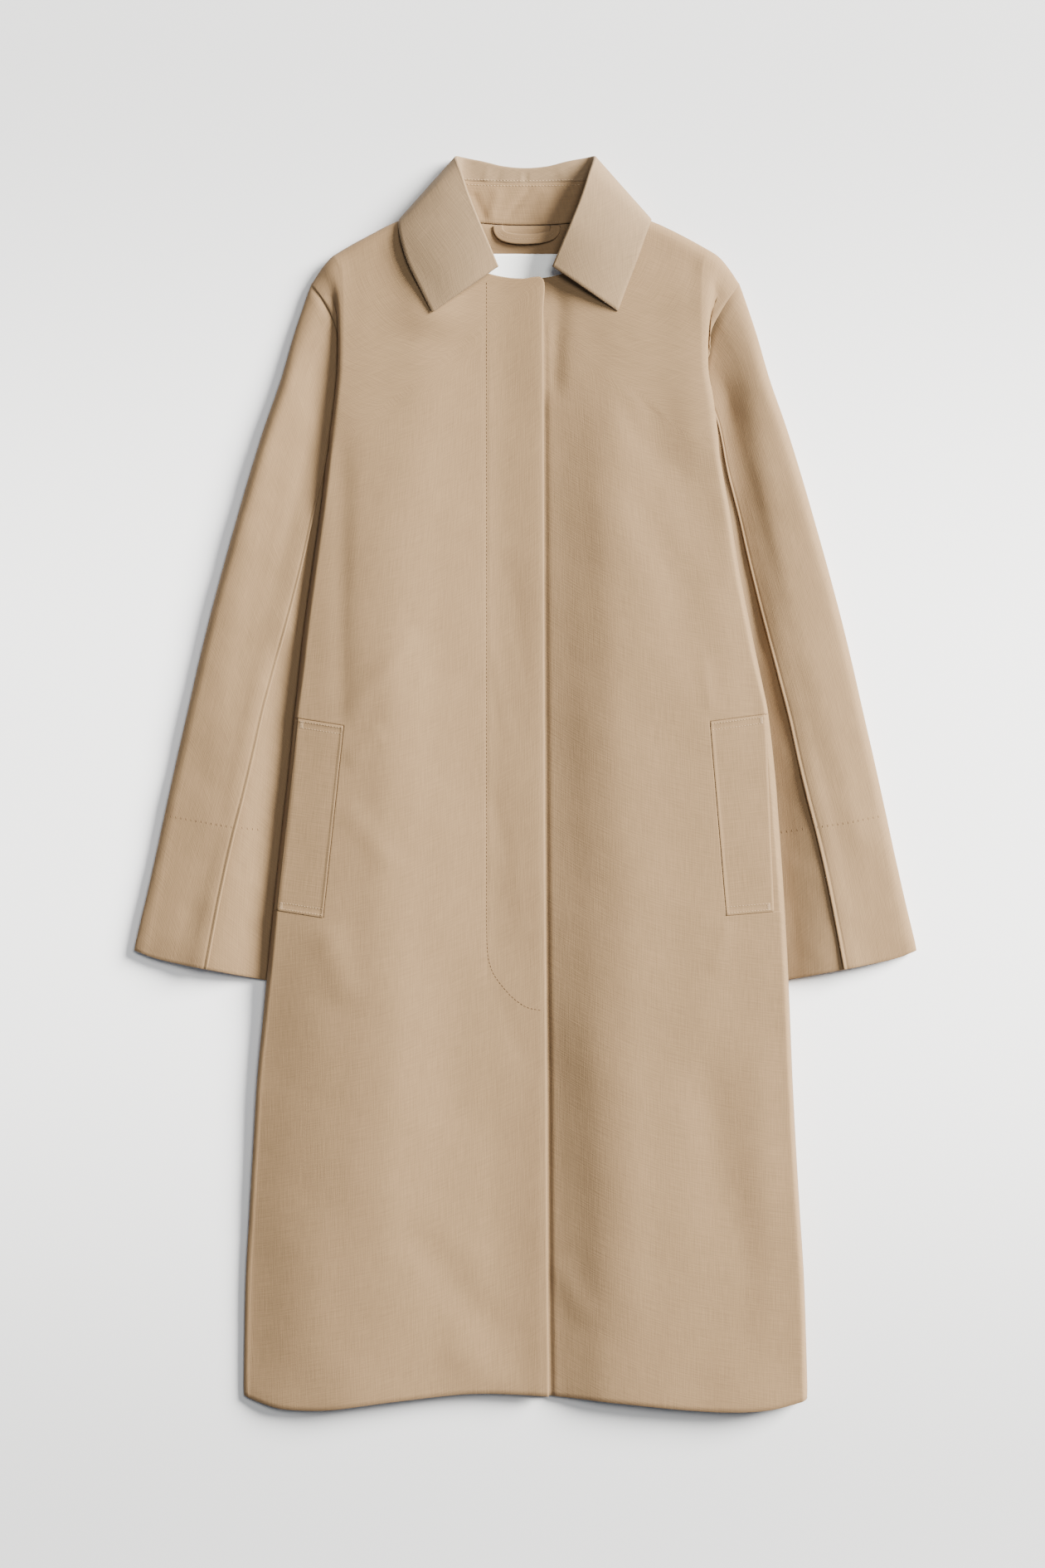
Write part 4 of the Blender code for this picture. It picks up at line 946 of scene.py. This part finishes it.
def creased(grid, table, seed, low=4.0):
    """A piece with its own creases and unevenness, on what lies higher than low."""
    x, y, z = grid.transpose(2, 0, 1)
    n = normals(grid)
    n = n * np.where(n[..., 2:] < 0, -1, 1)
    facing = facing_up(n) * ease((z - low) / CREASES_RUN)
    rise = crease_height(x, y, table) + RIPPLE * ripple(x, y, size=60, seed=seed)
    rise = rise + SLEEVE_SMALL_RIPPLE * ripple(x, y, size=20, seed=seed + 1)
    return grid + n * (rise * facing)[..., None]


def sew_in(grid):
    """Turns a sleeve's head down and in below the edge of the body's armhole."""
    inward = grid[0] - grid[len(SEWN_ROWS)]
    inward[:, 2] = 0
    inward /= np.maximum(np.linalg.norm(inward, axis=1, keepdims=True), 1e-9)
    high = ease((grid[0, :, 2] - SEWN_FROM_Z) / SEWN_RUN)[:, None]
    for row, share in enumerate(SEWN_ROWS):
        grid[row] += (inward * SEWN_UNDER - np.array([0, 0, SEWN_DOWN])) * share * high


sleeve_twill = woven("sleeve_twill", TAN)
for side in BODY_EDGE:
    top, under = sleeve_grids(side)
    rows = finer(SLEEVE_ROWS, [HEAD_PARTS] + [SLEEVE_PARTS] * (SLEEVE_ROWS - 2))
    top = refine(top, rows, finer(top.shape[1], TOP_COLUMN_PARTS))
    under = refine(under, rows, finer(under.shape[1], UNDER_COLUMN_PARTS))
    top = creased(top, SLEEVE_CREASES[side], seed=11)
    under = creased(under, SLEEVE_CREASES[side], seed=13)
    from_lip = grain(top)[..., 0] / MM
    top[..., 2] += LIP_RIDGE * np.exp(-((from_lip / LIP_WIDTH) ** 2))
    top[..., 2] -= LIP_GROOVE * np.exp(-(((from_lip - LIP_GROOVE_IN) / LIP_GROOVE_WIDTH) ** 2))
    for grid in (top, under):
        sew_in(grid)
    piece = cloth(f"sleeve_top_{side}", top, CLOTH, sleeve_twill, pressed_hem=0.5)
    piece = cloth(f"sleeve_under_{side}", under, CLOTH, sleeve_twill, pressed_hem=0.5)

# Collar stand
# The stand is a curved band of the same cotton, sewn to the neckline all round. It rises from the front ends
# to the back of the neck, and the collar is sewn to its upper edge.

COLLAR_BULGE = 8.8
BULGES_ABOVE = ((12, 18), (0, 1))  # the fall bulges where its edge lies this high
SEAM_RUN = 3.0
COLLAR_GAP = 0.8
COLLAR_FOLD = 1.1
STAND_STARTS = ((4, 8), (0.7, 1.2))  # the stand's distance from the neckline, by its height
COLLAR_PLY = 1.3  # the collar itself, without the layers of its seams
STATIONS_ON_FRONT = 4
Station = namedtuple("Station", "neck stand fold edge")
# Station by station from the front end round to the centre back, each point out, y, z
COLLAR = (
    Station((33, 455.5, 15.6), (30, 458, 21), (24.5, 460, 24.8), (82, 421.5, 21.5)),
    Station((42, 460, 15.4), (38, 465, 22.5), (33, 480, 29.5), (90, 443, 21.5)),
    Station((55, 472, 14.8), (49, 483, 23.5), (42, 501, 32), (98, 464, 21)),
    Station((64, 490, 13.8), (56, 505, 22.5), (51, 524, 30), (105, 484, 20)),
    Station((66, 503, 12.5), (60, 524, 18.5), (57, 543, 25), (109.5, 496, 18)),
    Station((66, 509, 10.5), (61, 532, 14), (60.5, 553, 19), (111.5, 501, 15.5)),
    Station((65.5, 512, 8), (61, 537, 9), (61.7, 559.4, 11), (112, 504.2, 8.5)),
    Station((65, 509, 5.8), (58, 539.2, 5.6), (57, 559.8, 4.2), (110.5, 503.2, 2.4)),
    Station((60, 503.6, 4.0), (51, 538.8, 3.9), (50, 558.6, 2.3), (107, 499.6, 0.95)),
    Station((42, 501.6, 3.6), (40, 538.3, 3.6), (38, 556.3, 2.3), (80, 491, 0.95)),
    Station((20, 500, 3.6), (20, 537.3, 3.6), (20, 552, 2.3), (44, 486, 0.95)),
    Station((0, 499.6, 3.6), (0, 536.8, 3.6), (0, 550.3, 2.3), (0, 484, 0.95)),
)

# The right wing's outer edge stands off the shoulder and the left one's lies lower, station by station
WING_LIFT = {
    "right": (2.6, 3.4, 4.0, 3.4, 2, 1, 0.5, 0, 0, 0, 0, 0),
    "left": (-3.0, -2.6, -1.6, -0.8, 0, 0, 0, 0, 0, 0, 0, 0),
}
WING_OUT = {"right": (1, 4.5, 6.5, 5.5, 3, 1, 0, 0, 0, 0, 0, 0), "left": (0,) * 12}
WING_DOWN = {"right": 1.6, "left": 0.0}  # the tip lies this much lower


def collar_lines():
    lines = []
    for which in range(4):
        halves = []
        for side, sign in (("right", -1), ("left", 1)):
            half = [list(station[which]) for station in COLLAR]
            for out_y_z in half[:STATIONS_ON_FRONT] if which == 0 else []:
                out_y_z[2] = float(front_height(side, out_y_z[0], out_y_z[1]))
            for out_y_z, lift, out in zip(half, WING_LIFT[side], WING_OUT[side]) if which == 3 else ():
                out_y_z[0] += out
                out_y_z[2] += lift
            half[0][1] -= WING_DOWN[side] if which == 3 else 0
            halves.append([(sign * out, y, z) for out, y, z in half])
        line = halves[0] + halves[1][-2::-1]
        lines.append(smooth(line))
    return lines


def collar_grids():
    stands, collars = [], []
    lines = collar_lines()
    for k, s, f, e, tangent in zip(*lines, np.gradient(lines[2], axis=0)):
        to_fold = (f - s) / np.linalg.norm(f - s)
        from_edge = (f - e) / np.linalg.norm(f - e)
        tangent = tangent / np.linalg.norm(tangent)
        out_of_fold = to_fold + from_edge - ((to_fold + from_edge) @ tangent) * tangent
        out_of_fold /= np.linalg.norm(out_of_fold)
        across = np.cross(out_of_fold, tangent)
        turned = [
            f - COLLAR_FOLD * (1 - np.cos(angle)) * out_of_fold + COLLAR_FOLD * np.sin(angle) * across
            for angle in np.radians([-90, -60, -30, 0, 30, 60, 90])
        ]
        along = (turned[0] - k) / np.linalg.norm(turned[0] - k)
        rise = (s - k) / np.linalg.norm(s - k)
        start = float(steady(k[2], STAND_STARTS))
        stands.append([k + start * rise, (k + s) / 2, s - SEAM_RUN * along, s - COLLAR_GAP / 2 * along])
        bulge = np.array([0, 0, COLLAR_BULGE]) * steady(e[2], BULGES_ABOVE)
        fall = [turned[-1] + (e - turned[-1]) * r + bulge * r * (1 - r) for r in (0.25, 0.5, 0.75, 1)]
        collars.append([s + COLLAR_GAP / 2 * along, s + SEAM_RUN * along, *turned, *fall])
    return np.array(stands), np.array(collars)


STAND_COLUMN_PARTS = [10, 10, 3]
STAND_CREASES = (
    Fold(-47, 528, -36, 505, 3.6, -1.0),
    Fold(-25, 531, -31, 505, 4.5, 0.9),
    Fold(5, 533, -16, 507, 3.6, -0.9),
    Fold(20, 530, 12, 505, 5, 0.7),
    Fold(40, 524, 36, 505, 3.6, -1.0),
)
stand, collar = collar_grids()
stand = refine(stand, np.arange(len(stand)), finer(stand.shape[1], STAND_COLUMN_PARTS))
stand = creased(stand, STAND_CREASES, seed=21, low=-4.0)
stand_twill = woven("stand_twill", TAN)
piece = cloth("collar_stand", stand, COLLAR_CLOTH, stand_twill)

# Collar
# The collar is two plies of the cotton with interlining, sewn to the stand, turned over at the fold line and
# laid down over the shoulders. Its back half lies folded below the coat's back.

COLLAR_TAN = (0.195, 0.1265, 0.0645)
COLLAR_GRAIN = 0.25  # the collar's grain is turned by this angle
COLLAR_COLUMN_PARTS = [2, 4] + [2] * 6 + [6] * 4  # from the seam, round the fold and over the fall
COLLAR_CREASES = (
    Fold(0, 547, 0, 538, 1.2, -0.8),
    Fold(-4, 547, -3, 538, 1.6, 0.5),
    Fold(-33, 550, -37, 539, 2.6, 0.7),
    Fold(-22, 548, -27, 538, 2.4, -0.6),
    Fold(30, 549, 36, 539, 3.0, 0.5),
)
collar = refine(collar, np.arange(len(collar)), finer(collar.shape[1], COLLAR_COLUMN_PARTS))
collar = creased(collar, COLLAR_CREASES, seed=23, low=-2.0)
collar_twill = woven("collar_twill", COLLAR_TAN, angle=COLLAR_GRAIN)
collar_piece = cloth("collar", collar, COLLAR_PLY, collar_twill)

# Hanger loop
# A narrow strip of the coat's cotton, folded lengthwise and stitched along its middle. Both its ends are
# caught into the back neck seam, each with a small box tack.

LOOP_WIDTH = 8.0
LOOP_CLOTH = 1.3
LOOP_PATH = (
    (-24.6, 498.6, 4.9), (-24.0, 494.0, 5.4), (-20.0, 489.6, 6.6), (-11, 487.2, 7.6), (0, 486.6, 8.0),
    (13, 487.4, 7.6), (22.5, 490.2, 6.6), (26.4, 494.4, 5.4), (27, 498.6, 4.9),
)
line = smooth(LOOP_PATH)
along = np.gradient(line[:, :2], axis=0)
along /= np.linalg.norm(along, axis=1)[:, None]
across = np.stack([-along[:, 1], along[:, 0], np.zeros(len(line))], axis=1)
loop = np.stack([line + across * LOOP_WIDTH * share for share in np.linspace(-0.5, 0.5, 9)], axis=1)
piece = cloth("hanger_loop", loop, LOOP_CLOTH, body_twill)

# Neck label
# A plain white satin label, woven and sewn to the inside of the back below the neck seam. It is blank, with
# no words and no mark.

LABEL_CLOTH = 1.0
LABEL_SIZE = (80.0, 38.0)
LABEL_TOP_Y = 473.6
LABEL_COLUMNS, LABEL_ROWS = 41, 20
LABEL_WHITE = (0.97, 0.98, 0.93)
LABEL_WAVE = 0.15
LABEL_LIFT = 0.2
label_satin = woven("label_satin", LABEL_WHITE, weave=0.3, roughness=0.5)
x, y = np.meshgrid(
    np.linspace(-LABEL_SIZE[0] / 2, LABEL_SIZE[0] / 2, LABEL_COLUMNS),
    np.linspace(LABEL_TOP_Y, LABEL_TOP_Y - LABEL_SIZE[1], LABEL_ROWS),
)
wave = LABEL_WAVE * ripple(x, y, size=30, seed=8)
label = np.stack([x, y, CLOTH + SEAM_GAP + LABEL_CLOTH / 2 + wave + LABEL_LIFT], axis=2)
piece = cloth("neck_label", label, LABEL_CLOTH, label_satin)

# Stitching
# Cotton thread, lighter than the cloth beside the collar seam, in the two rows and the bar tack at each end
# of a welt and in the loop. The fly's single row and the prick stitches that hold the cuffs are darker:
# their thread's colour carries painted shade of the small dents and needle holes that these stitches make.

THREAD = 0.26
THREAD_ROUND = 0.002  # metres of the thread's own pattern round it
PITCH = 3.4
STITCH = 2.4
LIGHT_THREAD = (0.33, 0.225, 0.126)
# The darker thread carries painted shade: the shade of the small dents and needle holes its stitches make
THREAD_WITH_PAINTED_SHADE = (0.1375, 0.08, 0.0373)
thread_cotton = woven("thread_cotton", LIGHT_THREAD, weave=0.4)
thread_painted_shade = woven("thread_painted_shade", THREAD_WITH_PAINTED_SHADE, weave=0.4)
skins = {p.name: skin_of(p) for p in bpy.context.scene.objects if p.name.startswith("coat_")}


def surface_at(x, y, names):
    """The highest of the named pieces seen from above at x, y."""
    found = [lay_on(skins[name], x, y, 0) for name in names]
    found = [(place, normal) for place, normal in found if place is not None]
    return max(found, key=lambda hit: hit[0][2]) if found else (None, None)


def thread_piece(name, stitches, names, radius=THREAD, sink=0.35, material=thread_cotton):
    """Stitches as small lengths of thread, each from one point to the next on the named pieces."""
    sides, rings = 6, ((0, 0.35), (0.18, 0.9), (0.5, 1.0), (0.82, 0.9), (1.0, 0.35))
    points, faces, uvs = [], [], []
    for (x0, y0), (x1, y1) in stitches:
        start, up = surface_at(x0, y0, names)
        end, _ = surface_at(x1, y1, names)
        if start is None or end is None:
            continue
        run = end - start
        length = max(np.linalg.norm(run), 1e-6)
        side = np.cross(run / length, up)
        base = len(points)
        for share, girth in rings:
            middle = start + run * share + up * radius * (1 - 2 * sink) * (girth - 0.2)
            for k in range(sides):
                angle = 2 * np.pi * k / sides
                points.append(middle + radius * girth * (np.cos(angle) * side + np.sin(angle) * up))
                uvs.append((k / sides * THREAD_ROUND, (share * length + x0) * MM))
        for ring in range(len(rings) - 1):
            for k in range(sides):
                a, b = base + ring * sides + k, base + ring * sides + (k + 1) % sides
                faces.append((a, b, b + sides, a + sides))
        faces.append(tuple(base + k for k in reversed(range(sides))))
        faces.append(tuple(base + (len(rings) - 1) * sides + k for k in range(sides)))
    mesh = bpy.data.meshes.new(name)
    mesh.from_pydata([tuple(p * MM) for p in points], [], faces)
    layer = mesh.uv_layers.new(name="cloth_grain")
    for loop in mesh.loops:
        layer.data[loop.index].uv = uvs[loop.vertex_index]
    on_coat(name, mesh, material)


def sewn(route, pitch=PITCH, stitch=STITCH):
    """Stitches of one length along a route of points."""
    route = np.asarray(route, float)
    run = np.concatenate([[0], np.cumsum(np.hypot(*np.diff(route, axis=0).T))])

    def at(distance):
        return tuple(np.interp(distance, run, route[:, axis]) for axis in (0, 1))

    starts = np.arange(0, run[-1] - stitch, pitch)
    return [(at(d), at(d + stitch)) for d in starts]


FLY_STITCHES = (
    *((FLY_LINE_X, y) for y in (447, 300, 150, 0, -120)),
    (-33.5, -150), (-30, -165), (-25, -174), (-17, -184), (-9, -192), (2, -199), (17, -202),
)
fly_row = sewn(smooth(FLY_STITCHES))
# The fly's row takes the darker thread, whose colour carries painted shade of its dents
thread_piece("coat_fly_stitches", fly_row, ["coat_front_right"], radius=0.3, material=thread_painted_shade)

COLLAR_SEAM_Y = 537.0  # at the centre back
COLLAR_SEAM_RISE, COLLAR_SEAM_HALF = 1.6, 56.0  # the seam is this much higher, this far out
BESIDE_COLLAR_SEAM = (-2.4, 2.4)
COLLAR_ROW_ENDS = (-55, 54)
collar_rows = []
for beside in BESIDE_COLLAR_SEAM:
    route = [
        (x, COLLAR_SEAM_Y + beside + COLLAR_SEAM_RISE * (abs(x) / COLLAR_SEAM_HALF) ** 2.4)
        for x in np.linspace(*COLLAR_ROW_ENDS, 40)
    ]
    collar_rows += sewn(route, pitch=2.9, stitch=2.0)
thread_piece("coat_collar_stitches", collar_rows, ["coat_collar_stand", "coat_collar"], radius=0.32)

WELT_ROW_INSETS = (2.2, 7.6)  # the two rows' distances from the welt's end
WELT_ROW_SHORT = 1.2  # the rows stop this far from its long edges
BAR_TACK_IN = 2.6
BAR_TACK_WIDTH = 3.4
BAR_TACK_LENGTH = 5.6
BAR_TACK_STEP = 0.75
for side in BODY_EDGE:
    sign = SIGN[side]
    corners = [np.array([sign * out, y]) for out, y in WELT[side]]
    inner_top, outer_top, inner_bottom, outer_bottom = corners
    down = (inner_bottom - inner_top) / np.linalg.norm(inner_bottom - inner_top)
    across = (outer_top - inner_top) / np.linalg.norm(outer_top - inner_top)
    inside = across * WELT_ROW_SHORT
    rows = []
    for inset in WELT_ROW_INSETS:
        for inner, outer, way in ((inner_top, outer_top, down), (inner_bottom, outer_bottom, -down)):
            ends = (inner + way * inset + inside, outer + way * inset - inside)
            rows += sewn(ends, pitch=2.6, stitch=1.8)
    for corner, way in ((outer_top, down), (outer_bottom, -down)):
        for step in np.arange(0, BAR_TACK_LENGTH, BAR_TACK_STEP):
            start = corner - across * BAR_TACK_IN + way * (WELT_ROW_INSETS[0] + step)
            rows.append((start - across * BAR_TACK_WIDTH, start))
    thread_piece(f"coat_welt_stitches_{side}", rows, [f"coat_welt_{side}"], radius=0.24)

LOOP_TACKS = (((-29, 502), (-20.5, 502)), ((22.5, 502.5), (31, 502.5)))
TACK_DEPTH = 4
LOOP_ROW = slice(10, -10)  # the row along the loop leaves out its ends
tacks = []
for (x0, y0), (x1, y1) in LOOP_TACKS:
    box = [(x0, y0 - TACK_DEPTH), (x0, y0), (x1, y1), (x1, y1 - TACK_DEPTH)]
    tacks += sewn(box, pitch=1.9, stitch=1.2)
thread_piece("coat_loop_tacks", tacks, ["coat_collar_stand", "coat_back"], radius=0.22)
loop_row = sewn(line[LOOP_ROW, :2], pitch=2.6, stitch=1.4)
thread_piece("coat_loop_stitches", loop_row, ["coat_hanger_loop"], radius=0.18)

CUFF_STITCHES = {
    "right": (
        ((-320.79, -28.12), (-291.19, -33.3), (-257.89, -39.22)),
        ((-252.71, -39.22), (-237.91, -40.7)),
    ),
    "left": (
        ((229.03, -42.92), (252.71, -39.22)),
        ((260.11, -38.48), (289.71, -34.04), (319.31, -28.12)),
    ),
}
PRICK_HALF = 1.1
PRICK_LEAN = 0.3
for side, routes in CUFF_STITCHES.items():
    pricks = []
    for route in routes:
        for (x, y), _ in sewn(route, pitch=4.6, stitch=1.0):
            pricks.append(((x, y + PRICK_HALF), (x + PRICK_LEAN, y - PRICK_HALF)))
    pieces = [f"coat_sleeve_top_{side}", f"coat_sleeve_under_{side}"]
    # The prick stitches take the darker thread, whose colour carries painted shade of their dents
    thread_piece(f"coat_cuff_stitches_{side}", pricks, pieces, radius=0.24, material=thread_painted_shade)

# Floor, light and camera
# Not part of the coat: the pale surface that it lies on, a large soft light from the upper right and a small
# one from above, a weak fill from all round, and a camera straight above.

FLOOR_HALF = 6.0  # in metres, as the places of the lights and the camera
FLOOR_Z = -0.0004
FLOOR_CORNERS = ((-1, -1), (1, -1), (1, 1), (-1, 1))
FLOOR_WHITE = (0.97, 0.955, 0.92)
# Painted shade: the floor's colour darkens with the distance above or below the coat's middle, standing in
# for the light's falloff
FLOOR_PAINTED_FALLOFF = {"From Min": 0.1, "From Max": 0.68, "To Min": 1.0, "To Max": 0.63}
floor_mesh = bpy.data.meshes.new("floor")
floor_points = [(x * FLOOR_HALF, y * FLOOR_HALF, FLOOR_Z) for x, y in FLOOR_CORNERS]
floor_mesh.from_pydata(floor_points, [], [(0, 1, 2, 3)])
floor_paint = bpy.data.materials.new("floor_paper")
floor_paint.use_nodes = True
floor_nodes, floor_links = floor_paint.node_tree.nodes, floor_paint.node_tree.links
floor_nodes["Principled BSDF"].inputs["Roughness"].default_value = 0.9
floor_place = floor_nodes.new("ShaderNodeTexCoord")
floor_parts = floor_nodes.new("ShaderNodeSeparateXYZ")
floor_links.new(floor_place.outputs["Object"], floor_parts.inputs["Vector"])
from_middle = floor_nodes.new("ShaderNodeMath")
from_middle.operation = "ABSOLUTE"
floor_links.new(floor_parts.outputs["Y"], from_middle.inputs[0])
# Painted shade: the floor's white is scaled down towards its top and bottom
darker = floor_nodes.new("ShaderNodeMapRange")
darker.interpolation_type = "SMOOTHSTEP"
for socket, value in FLOOR_PAINTED_FALLOFF.items():
    darker.inputs[socket].default_value = value
floor_links.new(from_middle.outputs["Value"], darker.inputs["Value"])
floor_tint = floor_nodes.new("ShaderNodeVectorMath")
floor_tint.operation = "SCALE"
floor_tint.inputs[0].default_value = FLOOR_WHITE
floor_links.new(darker.outputs["Result"], floor_tint.inputs["Scale"])
floor_links.new(floor_tint.outputs["Vector"], floor_nodes["Principled BSDF"].inputs["Base Color"])
floor_mesh.materials.append(floor_paint)
floor = bpy.data.objects.new("floor", floor_mesh)
bpy.context.scene.collection.objects.link(floor)


def soft_light(name, place, size, power):
    """A round light that faces the coat's middle."""
    lamp = bpy.data.lights.new(name, "AREA")
    lamp.shape = "DISK"
    lamp.size = size
    lamp.energy = power
    light = bpy.data.objects.new(name, lamp)
    light.location = place
    light.rotation_mode = "QUATERNION"
    light.rotation_quaternion = (-Vector(place)).to_track_quat("-Z", "Y")
    bpy.context.scene.collection.objects.link(light)


soft_light("key", place=(7.1, 3.75, 4.1), size=4.6, power=6200)
soft_light("top", place=(1.6, 2.0, 8.0), size=3.0, power=420)

FILL_COLOUR = (0.83, 0.98, 1.25, 1)
FILL_STRENGTH = 0.175
world = bpy.data.worlds.new("studio")
bpy.context.scene.world = world
world.use_nodes = True
fill = world.node_tree.nodes["Background"]
fill.inputs["Color"].default_value = FILL_COLOUR
fill.inputs["Strength"].default_value = FILL_STRENGTH

PHOTO_WIDTH, PHOTO_HEIGHT = 1260, 1890
CENTRE_LINE_PIXEL = 633.5  # the coat's centre line, counted across the photo
PIXEL = 0.74 * MM
SCALE_HEIGHT = 0.012  # a pixel has its size at this height
LENS = 90.0
SENSOR = 36.0
lens = bpy.data.cameras.new("camera")
lens.lens = LENS
lens.sensor_width = SENSOR
camera = bpy.data.objects.new("camera", lens)
beside = (PHOTO_WIDTH / 2 - CENTRE_LINE_PIXEL) * PIXEL
camera.location = (beside, 0, PHOTO_HEIGHT * PIXEL * LENS / SENSOR + SCALE_HEIGHT)
bpy.context.scene.collection.objects.link(camera)
bpy.context.scene.camera = camera
